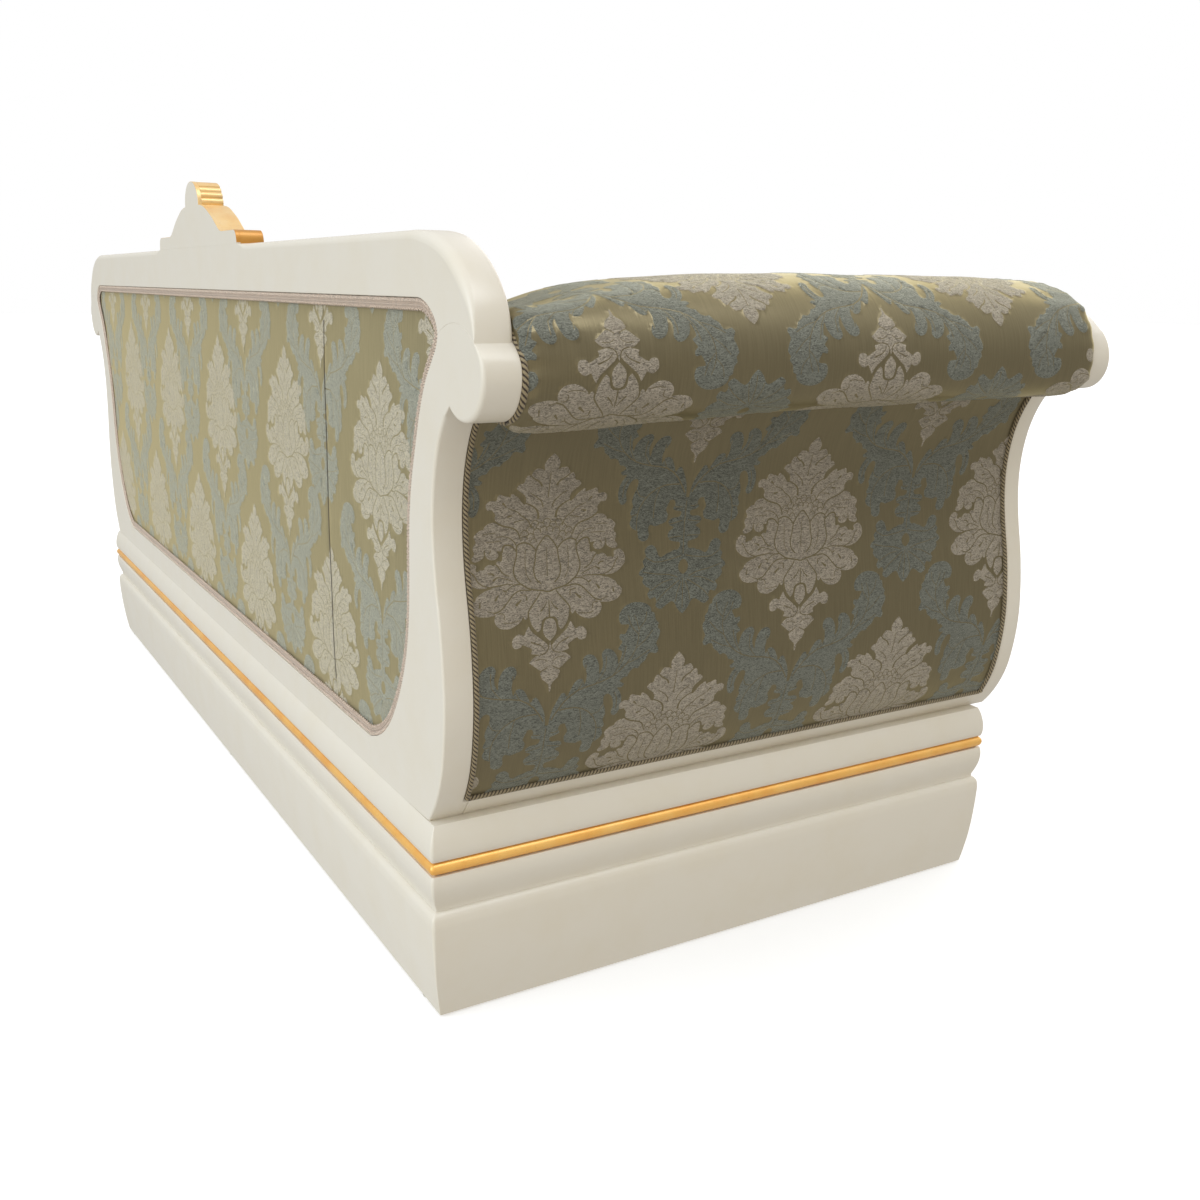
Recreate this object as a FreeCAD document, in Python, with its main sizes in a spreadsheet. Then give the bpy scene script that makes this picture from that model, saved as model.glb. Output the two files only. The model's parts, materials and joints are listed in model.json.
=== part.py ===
import FreeCAD, Part
import os, math

# Classical three-seater sofa.  Millimetres, +Z up, origin on the floor under the middle of the whole.
# X runs along the length (the sitter's right arm is at -X), the front of the sofa faces -Y, the back +Y.

V = FreeCAD.Vector
doc = FreeCAD.newDocument("sofa")

# ---------------------------------------------------------------- driving dimensions
sheet = doc.addObject("Spreadsheet::Sheet", "Sizes")
SIZES = [
    ("base_length", 1901.0, "length over the gilded bead"),
    ("base_depth", 850.0, "depth over the gilded bead"),
    ("base_shift", 9.5, "middle of the base, behind the middle of the whole"),
    ("glide_height", 3.0, "glide thickness"),
    ("glide_radius", 11.0, "glide radius"),
    ("plinth_top", 136.0, "top of the plinth boards"),
    ("plinth_thick", 36.0, "inner face of the plinth, in from the bead"),
    ("mould_thick", 42.0, "inner face of the base moulding, in from the bead"),
    ("base_top", 240.0, "top of the base moulding"),
    ("bead_radius", 8.0, "gilded bead radius"),
    ("bead_level", 190.0, "gilded bead centre height"),
    ("bead_gap", 0.3, "room round the bead in its groove"),
    ("board_back", 41.0, "thickness of the back frame boards"),
    ("board_front", 40.0, "thickness of the front S-boards"),
    ("rebate_back", 6.8, "rebate for panel and cord in the edge of the rear boards"),
    ("rebate_front", 12.0, "rebate for panel and cord in the edge of the front boards"),
    ("back_face", 427.0, "rear face of the back frame"),
    ("front_face", 434.5, "front face of the front S-boards, forward of the middle"),
    ("panel_low", 281.5, "lower edge of the back opening"),
    ("panel_high", 801.0, "upper edge of the back opening"),
    ("rail_high", 866.0, "top of the back rail"),
    ("opening_gap", 0.6, "room round the outside back panel"),
    ("panel_thick", 8.0, "outside panels, board and padding"),
    ("gimp_wide", 13.0, "braid width"),
    ("gimp_thick", 5.0, "braid thickness"),
    ("arm_inner", 838.0, "inner edge of the front S-board"),
    ("pad_inner", 836.0, "inner face of the arm padding"),
    ("pad_outer", 868.0, "outer face of the arm padding"),
    ("cord_radius", 3.4, "twisted cord radius"),
    ("panel_inset", 3.0, "outside arm panel, in from the board edge"),
    ("rail_thick", 25.0, "hidden rail thickness"),
    ("rail_outer", 898.0, "outer face of the hidden seat side rails"),
    ("rail_inner", 872.0, "inner face of the hidden seat side rails"),
    ("rail_top", 297.0, "top of the hidden seat rails"),
    ("siderail_top", 262.0, "top of the ivory side rails"),
    ("wire", 3.6, "spring wire diameter"),
    ("spring_pitch", 36.0, "distance between spring runs"),
    ("spring_half", 14.0, "half length of a straight spring run"),
    ("spring_step", 180.0, "distance between springs"),
    ("deck_low", 302.0, "underside of the seat deck"),
    ("deck_thick", 9.0, "seat deck thickness"),
    ("deck_half", 834.0, "half length of the seat deck"),
    ("backpad_front", 309.5, "front of the inside back padding"),
    ("backpad_rear", 358.2, "rear of the inside back padding"),
    ("backpad_top", 815.0, "top of the inside back padding"),
    ("cushion_gap", 1.5, "half gap between neighbouring cushions"),
    ("cushion_wide", 553.0, "cushion width"),
    ("cushion_floor", 312.0, "underside of the loose cushions"),
    ("seat_thick", 150.0, "seat cushion thickness"),
    ("seat_front", 424.5, "front of the seat cushions, forward of the middle"),
    ("seat_rear", 155.5, "rear of the seat cushions"),
    ("seat_round", 32.0, "seat cushion edge radius"),
    ("cover_wall", 6.0, "seat cushion cover with its wadding"),
    ("core_gap", 1.0, "room between cover and foam core"),
    ("rest_front", 159.5, "front of the back cushions"),
    ("rest_rear", 306.5, "rear of the back cushions"),
    ("rest_tall", 488.0, "back cushion height"),
    ("rest_round", 45.0, "back cushion edge radius"),
    ("crest_board", 6.0, "thickness of the ivory crest board"),
    ("crest_carved", 29.0, "thickness of the gilded crest"),
    ("dowel_radius", 5.0, "crest dowel radius"),
    ("dowel_reach", 20.0, "dowel depth each way"),
    ("screw_radius", 2.5, "frame screw shank radius"),
    ("screw_head", 5.0, "frame screw head radius"),
    ("screw_bite", 22.0, "screw depth in the boards"),
    ("screw_level", 264.0, "height of the rear screws"),
]
S = {}
for i, (alias, value, note) in enumerate(SIZES, start=1):
    sheet.set("A%d" % i, note)
    sheet.set("B%d" % i, repr(value))
    sheet.setAlias("B%d" % i, alias)
    S[alias] = value
doc.recompute()

NODES = []


def keep(obj, label):
    obj.Label = label
    NODES.append(obj)
    return obj


def bind(obj, **exprs):
    for prop, e in exprs.items():
        obj.setExpression(prop.replace("__", "."), e)


# ---------------------------------------------------------------- plane curves: lines and tangent arcs
def sub(a, b):
    return (a[0] - b[0], a[1] - b[1])


def add(a, b, k=1.0):
    return (a[0] + k * b[0], a[1] + k * b[1])


def dot(a, b):
    return a[0] * b[0] + a[1] * b[1]


def unit(a):
    n = math.hypot(a[0], a[1])
    return (a[0] / n, a[1] / n)


def tangents(pts):
    """Tangent at each point: that of the circle through it and its neighbours."""
    out = []
    n = len(pts)
    for i in range(n):
        a, b, c = pts[max(0, i - 1)], pts[i], pts[min(n - 1, i + 1)]
        if i == 0:
            a, b, c = pts[0], pts[1], pts[2] if n > 2 else pts[1]
        if i == n - 1:
            a, b, c = pts[-3] if n > 2 else pts[-2], pts[-2], pts[-1]
        d1, d2 = sub(b, a), sub(c, b)
        l1, l2 = math.hypot(*d1) or 1e-9, math.hypot(*d2) or 1e-9
        u1, u2 = (d1[0] / l1, d1[1] / l1), (d2[0] / l2, d2[1] / l2)
        mid = unit((u1[0] * l2 + u2[0] * l1, u1[1] * l2 + u2[1] * l1))
        if i == 0:
            k = 2 * dot(mid, u1)
            mid = unit((k * u1[0] - mid[0], k * u1[1] - mid[1]))
        if i == n - 1:
            k = 2 * dot(mid, u2)
            mid = unit((k * u2[0] - mid[0], k * u2[1] - mid[1]))
        out.append(mid)
    return out


def arc_from(p, t, q):
    """Arc that leaves p along t and ends at q: (p, middle point, q), or a line."""
    n = (-t[1], t[0])
    d = sub(q, p)
    h = dot(n, d)
    if abs(h) < 1e-4 * math.hypot(*d):
        return ("L", p, q)
    r = dot(d, d) / (2 * h)
    c = add(p, n, r)
    a0 = math.atan2(p[1] - c[1], p[0] - c[0])
    a1 = math.atan2(q[1] - c[1], q[0] - c[0])
    sweep = a1 - a0
    if r > 0:
        while sweep < 0:
            sweep += 2 * math.pi
    else:
        while sweep > 0:
            sweep -= 2 * math.pi
    am = a0 + sweep / 2
    return ("A", p, (c[0] + abs(r) * math.cos(am), c[1] + abs(r) * math.sin(am)), q)


def curve(pts, t0=None, t1=None):
    """Smooth run of tangent arcs through the points."""
    T = tangents(pts)
    if t0:
        T[0] = unit(t0)
    if t1:
        T[-1] = unit(t1)
    segs = []
    for i in range(len(pts) - 1):
        p, q, a, b = pts[i], pts[i + 1], T[i], T[i + 1]
        v = sub(q, p)
        t = (a[0] + b[0], a[1] + b[1])
        den = 2 * (1 - dot(a, b))
        if den < 1e-9:
            d = dot(v, v) / (4 * dot(v, b))
        else:
            d = (-dot(v, t) + math.sqrt(dot(v, t) ** 2 + den * dot(v, v))) / den
        m = ((p[0] + q[0]) / 2 + d / 2 * (a[0] - b[0]), (p[1] + q[1]) / 2 + d / 2 * (a[1] - b[1]))
        segs.append(arc_from(p, a, m))
        k = 2 * dot(unit(sub(q, m)), b)
        w = unit(sub(q, m))
        tm = unit((k * w[0] - b[0], k * w[1] - b[1]))
        segs.append(arc_from(m, tm, q))
    return segs


def chain(*pts):
    return [("L", pts[i], pts[i + 1]) for i in range(len(pts) - 1)]


def flip(segs):
    return [(s[0],) + tuple((-p[0], p[1]) for p in s[1:]) for s in segs]


def inset(pts, d):
    """Points moved by d to the left of the way they run."""
    T = tangents(pts)
    return [(p[0] - d * t[1], p[1] + d * t[0]) for p, t in zip(pts, T)]


def geoms(segs):
    """Sketch geometry; every arc runs anticlockwise."""
    out = []
    for s in segs:
        if s[0] == "L":
            out.append(Part.LineSegment(V(s[1][0], s[1][1], 0), V(s[2][0], s[2][1], 0)))
        else:
            p, m, q = s[1:]
            cr = (m[0] - p[0]) * (q[1] - p[1]) - (m[1] - p[1]) * (q[0] - p[0])
            if cr < 0:
                p, q = q, p
            out.append(Part.Arc(V(p[0], p[1], 0), V(m[0], m[1], 0), V(q[0], q[1], 0)))
    return out


def edges(segs, to3d):
    out = []
    for s in segs:
        pts = [to3d(p) for p in s[1:]]
        out.append(Part.LineSegment(*pts).toShape() if s[0] == "L" else Part.Arc(*pts).toShape())
    return out


# ---------------------------------------------------------------- solids from sketches
def origin_plane(body, role):
    return [f for f in body.Origin.OriginFeatures if f.Role == role][0]


def sketch(body, role, segs, offset=None):
    sk = body.newObject("Sketcher::SketchObject", body.Name + "_sketch")
    sk.AttachmentSupport = [(origin_plane(body, role), "")]
    sk.MapMode = "FlatFace"
    sk.addGeometry(geoms(segs), False)
    if offset:
        sk.setExpression("AttachmentOffset.Base.z", offset)
    return sk


def padded(name, role, segs, offset, length):
    body = doc.addObject("PartDesign::Body", name)
    keep(body, name)
    sk = sketch(body, role, segs, offset)
    pad = body.newObject("PartDesign::Pad", name + "_pad")
    pad.Profile = sk
    pad.setExpression("Length", length)
    doc.recompute()
    return body


def circle_sketch(body, role, centres, radius, offset):
    sk = body.newObject("Sketcher::SketchObject", body.Name + "_holes")
    sk.AttachmentSupport = [(origin_plane(body, role), "")]
    sk.MapMode = "FlatFace"
    for c in centres:
        sk.addGeometry(Part.Circle(V(c[0], c[1], 0), V(0, 0, 1), radius), False)
    sk.setExpression("AttachmentOffset.Base.z", offset)
    return sk


def pocket(body, sk, length=None, back=False):
    before = body.Shape.Volume
    pk = body.newObject("PartDesign::Pocket", body.Name + "_cut")
    pk.Profile = sk
    if length is None:
        pk.Type = "ThroughAll"
    else:
        pk.setExpression("Length", length)
    pk.Reversed = back
    doc.recompute()
    if not body.Shape.Volume < before - 1.0:
        raise RuntimeError("cut removed nothing: " + body.Name)
    return pk


def box(name, x, y, z, l, w, h, label=True):
    b = doc.addObject("Part::Box", name)
    bind(b, Length=l, Width=w, Height=h, Placement__Base__x=x, Placement__Base__y=y, Placement__Base__z=z)
    if label:
        keep(b, name)
    return b


def solid(name, shape, at=(0, 0, 0)):
    f = doc.addObject("Part::Feature", name)
    f.Shape = shape
    f.Placement = FreeCAD.Placement(V(*at), FreeCAD.Rotation())
    keep(f, name)
    return f


def cut(name, base, tools):
    tool = tools[0]
    if len(tools) > 1:
        tool = doc.addObject("Part::MultiFuse", name + "_tools")
        tool.Shapes = tools
    c = doc.addObject("Part::Cut", name)
    c.Base = base
    c.Tool = tool
    keep(c, name)
    return c


def cylinder(name, x, y, z, r, h, axis=None):
    c = doc.addObject("Part::Cylinder", name)
    if axis:
        c.Placement = FreeCAD.Placement(V(0, 0, 0), FreeCAD.Rotation(V(0, 0, 1), V(*axis)))
    bind(c, Radius=r, Height=h, Placement__Base__x=x, Placement__Base__y=y, Placement__Base__z=z)
    return c


def rounded(name, base, radius):
    doc.recompute()
    f = doc.addObject("Part::Fillet", name)
    f.Base = base
    f.Edges = [(i + 1, radius, radius) for i in range(len(base.Shape.Edges))]
    return f


def block(x0, x1, y0, y1, z0, z1):
    return Part.makeBox(x1 - x0, y1 - y0, z1 - z0, V(x0, y0, z0))


def mirror_x(shape):
    return shape.mirror(V(0, 0, 0), V(1, 0, 0))


# ---------------------------------------------------------------- base: plinth, moulding, bead
HL, HD, SH = S["base_length"] / 2, S["base_depth"] / 2, S["base_shift"]
gh, pt, bt = S["glide_height"], S["plinth_top"], S["base_top"]
br, bz, bg = S["bead_radius"], S["bead_level"], S["bead_gap"]

# profiles as (distance out from the bead, height)
PLINTH = (
    chain((-S["plinth_thick"], pt), (-S["plinth_thick"], gh), (-13.0, gh))
    + curve([(-13.0, gh), (-6.4, 45.0), (-2.2, 88.0), (-1.0, 110.0), (-1.0, 124.0)], t1=(0, 1))
    + curve([(-1.0, 124.0), (-2.4, 130.5), (-8.0, pt)], t0=(0, 1), t1=(-1, 0))
    + chain((-8.0, pt), (-S["plinth_thick"], pt))
)
gr = br + bg
gz = math.sqrt(gr ** 2 - 4.0 ** 2)
MOULD = (
    chain((-S["mould_thick"], bt), (-S["mould_thick"], pt), (-8.5, pt), (-8.5, 140.0))
    + curve([(-8.5, 140.0), (-6.0, 146.5), (-3.2, 154.0), (-1.2, 162.0), (-0.5, 170.0), (-1.0, 177.0), (-2.4, 181.5)])
    + chain((-2.4, 181.5), (-br + 4.0, bz - gz))
    + [("A", (-br + 4.0, bz - gz), (-br - gr, bz), (-br + 4.0, bz + gz))]
    + chain((-br + 4.0, bz + gz), (-2.4, 199.0))
    + curve([(-2.4, 199.0), (-0.8, 203.0), (-0.2, 209.5), (-0.6, 216.5), (-1.8, 223.5), (-4.2, 231.5), (-8.0, bt)])
    + chain((-8.0, bt), (-S["mould_thick"], bt))
)
BEAD = [
    ("A", (-2 * br, bz), (-br, bz - br), (0.0, bz)),
    ("A", (0.0, bz), (-br, bz + br), (-2 * br, bz)),
]


def place(segs, sign, half, shift=0.0):
    """Profile carried to one side of the base: sign +1 or -1 of that axis."""
    return [(s[0],) + tuple((sign * (half + p[0]) + shift, p[1]) for p in s[1:]) for s in segs]


def mitre(body, side):
    far, deep = 12.0, 70.0
    if side in ("front", "back"):
        s = -1 if side == "front" else 1
        tri = []
        for e in (-1, 1):
            a = (e * (HL + far), s * (HD + far) + SH)
            b = (e * (HL - deep), s * (HD - deep) + SH)
            c = (e * (HL + far), s * (HD - deep) + SH)
            tri += chain(a, b, c, a)
    else:
        s = -1 if side == "right" else 1
        tri = []
        for e in (-1, 1):
            a = (s * (HL + far), e * (HD + far) + SH)
            b = (s * (HL - deep), e * (HD - deep) + SH)
            c = (s * (HL - deep), e * (HD + far) + SH)
            tri += chain(a, b, c, a)
    pocket(body, sketch(body, "XY_Plane", tri, "Sizes.base_top + 60"))


for stem, profile in (("plinth", PLINTH), ("base_moulding", MOULD), ("gilt_bead", BEAD)):
    for side in ("front", "back", "left", "right"):
        if side in ("front", "back"):
            sgn = -1 if side == "front" else 1
            b = padded("%s_%s" % (stem, side), "YZ_Plane", place(profile, sgn, HD, SH), "-Sizes.base_length / 2", "Sizes.base_length")
        else:
            sgn = -1 if side == "right" else 1
            b = padded("%s_%s" % (stem, side), "XZ_Plane", place(profile, sgn, HL), "-Sizes.base_depth / 2 - Sizes.base_shift", "Sizes.base_depth")
        mitre(b, side)

# felt-faced glides under the plinth, and glue blocks in its corners
gx, gy = HL - 24.5, HD - 24.5
discs = [
    Part.makeCylinder(S["glide_radius"], gh, V(x, y + SH, 0))
    for x, y in [(sx * (gx - 40), sy * gy) for sx in (-1, 1) for sy in (-1, 1)] + [(0, -gy), (0, gy)]
]
solid("glides", Part.makeCompound(discs))
ix, iy = HL - S["plinth_thick"], HD - S["plinth_thick"]
blocks = []
for sx in (-1, 1):
    for sy in (-1, 1):
        w = Part.makePolygon([V(sx * ix, sy * iy + SH, 20), V(sx * (ix - 90), sy * iy + SH, 20), V(sx * ix, sy * (iy - 90) + SH, 20), V(sx * ix, sy * iy + SH, 20)])
        blocks.append(Part.Face(w).extrude(V(0, 0, 105)))
solid("corner_blocks", Part.makeCompound(blocks))
box("dust_cover", "-Sizes.base_length/2 + Sizes.plinth_thick + 0.5", "-Sizes.base_depth/2 + Sizes.base_shift + Sizes.plinth_thick + 0.5", "126.5",
    "Sizes.base_length - 2*Sizes.plinth_thick - 1", "Sizes.base_depth - 2*Sizes.plinth_thick - 1", "1.5")

# ---------------------------------------------------------------- S-profile of the boards (distance from the middle, height)
OUTER = [(927.0, bt), (944.5, 262.0), (963.0, 298.5), (973.0, 343.0), (976.5, 385.0), (974.0, 430.0), (968.0, 474.0), (960.5, 511.0),
         (955.5, 545.0), (954.0, 579.0), (957.0, 611.0), (965.0, 643.0), (978.0, 671.0), (990.0, 688.0), (1003.0, 700.0)]
SCROLL = [(1003.0, 700.0), (1015.0, 691.0), (1031.0, 687.0), (1048.0, 689.0), (1064.0, 698.0), (1075.0, 713.0), (1079.0, 731.0),
          (1076.0, 746.0), (1069.0, 755.5), (1061.0, 762.0)]
SHOULDER = [(1061.0, 762.0), (1057.5, 783.0), (1050.0, 801.0), (1037.0, 818.0), (1017.0, 835.5), (991.0, 850.5), (960.0, 861.0), (930.0, 865.2), (900.0, S["rail_high"])]
CORNER = [(928.0, S["panel_high"]), (947.0, 797.0), (962.0, 789.0), (973.0, 778.0), (977.0, 767.0)]
WAIST = [(977.0, 767.0), (973.0, 756.0), (962.0, 742.0), (944.0, 720.0), (929.0, 692.0), (914.0, 652.0), (901.0, 613.0), (893.0, 572.0), (890.0, 535.0),
         (888.0, 498.0), (884.0, 460.0), (876.0, 424.0), (861.0, 386.0), (839.0, 348.0), (815.0, 318.0), (784.0, 295.0), (748.0, S["panel_low"])]
JOINT = ("A", (1061.0, 762.0), (1019.0, 779.0), (977.0, 767.0))
DOWN = (0, -1)

outer_c = curve(OUTER)
scroll_c = curve(SCROLL)
shoulder_c = curve(SHOULDER, t1=(-1, 0))
corner_c = curve(CORNER, t0=(1, 0), t1=(0, -1))
waist_c = curve(WAIST, t0=(0, -1), t1=(-1, 0))

stile = outer_c + scroll_c + [JOINT] + waist_c + chain((748.0, S["panel_low"]), (748.0, bt), OUTER[0])
back_at = "-Sizes.back_face"
left = padded("back_stile_left", "XZ_Plane", stile, back_at, "Sizes.board_back")
right = padded("back_stile_right", "XZ_Plane", flip(stile), back_at, "Sizes.board_back")

# rebate in the board edge, where the panel is fixed and the cord lies
reb_out, reb_in = inset(OUTER[1:-1], -6.0), inset(OUTER[1:-1], 13.0)
reb_out[0], reb_in[0] = (952.0, 262.0), (929.0, 262.0)
rebate = curve(reb_out) + chain(reb_out[-1], reb_in[-1]) + curve(reb_in[::-1]) + chain(reb_in[0], reb_out[0])
pocket(left, sketch(left, "XZ_Plane", rebate, "-Sizes.back_face + Sizes.board_back"), "Sizes.rebate_back")
pocket(right, sketch(right, "XZ_Plane", flip(rebate), "-Sizes.back_face + Sizes.board_back"), "Sizes.rebate_back")

top_half = shoulder_c + [JOINT] + corner_c
top = top_half + flip(top_half) + chain((900.0, S["rail_high"]), (-900.0, S["rail_high"])) + chain((928.0, S["panel_high"]), (-928.0, S["panel_high"]))
top_rail = padded("back_top_rail", "XZ_Plane", top, back_at, "Sizes.board_back")
dowel_x = (-60.0, 0.0, 60.0)
dowel_y = S["back_face"] - S["crest_board"] - S["crest_carved"] / 2
pocket(top_rail, circle_sketch(top_rail, "XY_Plane", [(x, dowel_y) for x in dowel_x], S["dowel_radius"] + 0.05, "Sizes.rail_high"), "Sizes.dowel_reach + 1")

low = padded("back_bottom_rail", "XZ_Plane",
             chain((-748.0, bt), (748.0, bt), (748.0, S["panel_low"]), (-748.0, S["panel_low"]), (-748.0, bt)), back_at, "Sizes.board_back")
screw_x = (-600.0, -200.0, 200.0, 600.0)
sz = S["screw_level"]
pocket(low, circle_sketch(low, "XZ_Plane", [(x, sz) for x in screw_x], S["screw_radius"] + 0.05, "-Sizes.back_face + Sizes.board_back"), "Sizes.screw_bite + 1")

# ---------------------------------------------------------------- front S-boards with their scrolls
FSCROLL = [(1003.0, 700.0), (1015.0, 696.5), (1030.0, 695.5), (1045.0, 696.7), (1054.0, 698.8), (1062.5, 703.5), (1069.0, 710.0), (1075.0, 721.5),
           (1076.8, 733.5), (1075.5, 745.0), (1070.5, 757.5), (1062.6, 768.0)]
FTOP = [(1062.6, 768.0), (1052.5, 777.0), (1037.0, 788.0), (1012.0, 801.0), (975.0, 812.0)]
ai = S["arm_inner"]
facing = (
    outer_c + curve(FSCROLL) + curve(FTOP, t1=(-1, 0)) + chain((975.0, 812.0), (ai + 40, 812.0))
    + [("A", (ai + 40, 812.0), (ai + 40 - 40 * math.sin(math.pi / 4), 772.0 + 40 * math.cos(math.pi / 4)), (ai, 772.0))]
    + chain((ai, 772.0), (ai, bt), OUTER[0])
)
front_at = "Sizes.front_face - Sizes.board_front"
face_screws = [(855.0, 258.0), (855.0, 284.0)]
for name, segs, sgn in (("arm_facing_left", facing, 1), ("arm_facing_right", flip(facing), -1)):
    b = padded(name, "XZ_Plane", segs, front_at, "Sizes.board_front")
    pocket(b, circle_sketch(b, "XZ_Plane", [(sgn * x, z) for x, z in face_screws], S["screw_radius"] + 0.05, front_at), "Sizes.screw_bite + 1", back=True)
    pocket(b, sketch(b, "XZ_Plane", rebate if sgn > 0 else flip(rebate), front_at), "Sizes.rebate_front", back=True)

# ---------------------------------------------------------------- ivory side rails, hidden seat frame
yb = S["back_face"] - S["board_back"]
yf = -(S["front_face"] - S["board_front"])
st = S["siderail_top"]
ro = S["rail_outer"]
rail_seg = chain(OUTER[1], (ro, st), (ro, bt), OUTER[0]) + [outer_c[0], outer_c[1]]
arm_len = "Sizes.front_face - Sizes.board_front + Sizes.back_face - Sizes.board_back"
arm_at = "-(Sizes.back_face - Sizes.board_back)"
padded("side_rail_left", "XZ_Plane", rail_seg, arm_at, arm_len)
padded("side_rail_right", "XZ_Plane", flip(rail_seg), arm_at, arm_len)

rear_box = box("seat_rail_back_blank", "-Sizes.rail_outer", "Sizes.back_face - Sizes.board_back - Sizes.rail_thick", "Sizes.base_top",
               "2*Sizes.rail_outer", "Sizes.rail_thick", "Sizes.rail_top - Sizes.base_top", label=False)
cut("seat_rail_back", rear_box, [cylinder("rear_hole_%d" % i, "%g" % x, "Sizes.back_face - Sizes.board_back - Sizes.rail_thick - 1", "Sizes.screw_level",
                                          "Sizes.screw_radius + 0.05", "Sizes.rail_thick + 2", (0, 1, 0)) for i, x in enumerate(screw_x)])
front_box = box("seat_rail_front_blank", "-Sizes.rail_outer", "-(Sizes.front_face - Sizes.board_front)", "Sizes.base_top",
                "2*Sizes.rail_outer", "Sizes.rail_thick", "Sizes.rail_top - Sizes.base_top", label=False)
cut("seat_rail_front", front_box, [cylinder("front_hole_%d_%d" % (i, s), "%g" % (s * x), "-(Sizes.front_face - Sizes.board_front) - 1", "%g" % z,
                                            "Sizes.screw_radius + 0.05", "Sizes.rail_thick + 2", (0, 1, 0)) for i, (x, z) in enumerate(face_screws) for s in (-1, 1)])
rt = S["rail_thick"]
ri, rtop = S["rail_inner"], S["rail_top"]
one = block(ri, ro, yf + rt, yb - rt, bt, rtop)
solid("seat_side_rails", Part.makeCompound([one, mirror_x(one)]))
solid("cross_stretchers", Part.makeCompound([block(x - 20, x + 20, yf + rt, yb - rt, bt, 286.0) for x in (-300.0, 300.0)]))

# screws: head against the hidden rail, shank through it into the board
screws = []
for x in screw_x:
    shank = Part.makeCylinder(S["screw_radius"], rt + S["screw_bite"], V(x, yb - rt, sz), V(0, 1, 0))
    head = Part.makeCylinder(S["screw_head"], 3.0, V(x, yb - rt - 3.0, sz), V(0, 1, 0))
    screws.append(shank.fuse(head).removeSplitter())
for s in (-1, 1):
    for x, z in face_screws:
        shank = Part.makeCylinder(S["screw_radius"], rt + S["screw_bite"], V(s * x, yf + rt, z), V(0, -1, 0))
        head = Part.makeCylinder(S["screw_head"], 3.0, V(s * x, yf + rt + 3.0, z), V(0, -1, 0))
        screws.append(shank.fuse(head).removeSplitter())
solid("frame_screws", Part.makeCompound(screws))

# zigzag springs: straight cross runs joined by half circles, clipped to the rails at both ends
wr = S["wire"] / 2
pitch, sh = S["spring_pitch"], S["spring_half"]
y0 = yf + rt / 2
runs = int((yb - rt / 2 - y0) // pitch)
pitch = (yb - rt / 2 - y0) / runs
zs = rtop + 0.2 + wr
path = []
for i in range(runs + 1):
    y = y0 + i * pitch
    d = 1 if i % 2 == 0 else -1
    path.append(Part.LineSegment(V(-d * sh, y, zs), V(d * sh, y, zs)).toShape())
    if i < runs:
        path.append(Part.Arc(V(d * sh, y, zs), V(d * (sh + pitch / 2), y + pitch / 2, zs), V(d * sh, y + pitch, zs)).toShape())
ring = Part.Wire(Part.Circle(V(-sh, y0, zs), V(1, 0, 0), wr).toShape())
spring = Part.Wire(path).makePipeShell([ring], True, True)
want = math.pi * wr ** 2 * sum(e.Length for e in path)
if abs(spring.Volume / want - 1) > 0.01:
    raise RuntimeError("spring volume")
xs = [S["spring_step"] * k for k in range(-4, 5)]
springs, clips = [], []
clip = block(-9, 9, -8, 8, rtop, rtop + 5.5).cut(block(-10, 10, -wr - 0.4, wr + 0.4, rtop - 1, rtop + 4.2))
for x in xs:
    s = spring.copy()
    s.translate(V(x, 0, 0))
    springs.append(s)
    for y in (y0, y0 + runs * pitch):
        c = clip.copy()
        c.translate(V(x, y, 0))
        clips.append(c)
solid("zigzag_springs", Part.makeCompound(springs))
solid("spring_clips", Part.makeCompound(clips))

# deck of felt and platform cloth; it lies between the rows of clips
deck_y0, deck_y1 = yf + 1.0, S["backpad_rear"]
box("seat_deck", "-Sizes.deck_half", "-(Sizes.front_face - Sizes.board_front) + 22", "Sizes.deck_low",
    "2*Sizes.deck_half", "Sizes.front_face - Sizes.board_front - 22 + Sizes.backpad_rear", "Sizes.deck_thick")
border = box("front_border_blank", "-Sizes.pad_inner", "-Sizes.front_face + 6", "Sizes.base_top + 1",
             "2*Sizes.pad_inner", "Sizes.board_front - 6.3", "Sizes.deck_low + Sizes.deck_thick - Sizes.base_top - 3", label=False)
keep(rounded("front_border", border, 9.0), "front_border")

# ---------------------------------------------------------------- back: panel, braid, hidden battens, webbing, padding
def opening(d):
    """Outline of the back opening, moved in by d."""
    co = inset(CORNER, -d)
    co[0] = (CORNER[0][0], CORNER[0][1] - d)
    wa = inset(WAIST, -d)
    wa[-1] = (WAIST[-1][0], WAIST[-1][1] + d)
    tip = (977.0 - d, 767.0)
    co[-1] = wa[0] = tip
    half = curve(co, t0=(1, 0), t1=(0, -1)) + curve(wa, t0=(0, -1), t1=(-1, 0))
    return half + flip(half) + chain(co[0], (-co[0][0], co[0][1])) + chain(wa[-1], (-wa[-1][0], wa[-1][1]))


og = S["opening_gap"]
padded("outside_back_panel", "XZ_Plane", opening(og), "-(Sizes.back_face - 0.5 - Sizes.gimp_thick)", "Sizes.panel_thick")
padded("back_gimp", "XZ_Plane", opening(og) + opening(og + S["gimp_wide"]), "-(Sizes.back_face - 0.5)", "Sizes.gimp_thick")

uprights = [block(x0, x0 + 45.0, yb - rt, yb, rtop, 790.0) for x0 in (-832.0, -322.5, 277.5, 787.0)]
solid("back_uprights", Part.makeCompound(uprights))
straps = [block(-832.0, 832.0, yb - rt - 2.5, yb - rt, z, z + 50.0) for z in (340.0, 435.0, 530.0, 625.0, 720.0)]
solid("back_webbing", Part.makeCompound(straps))
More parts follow.
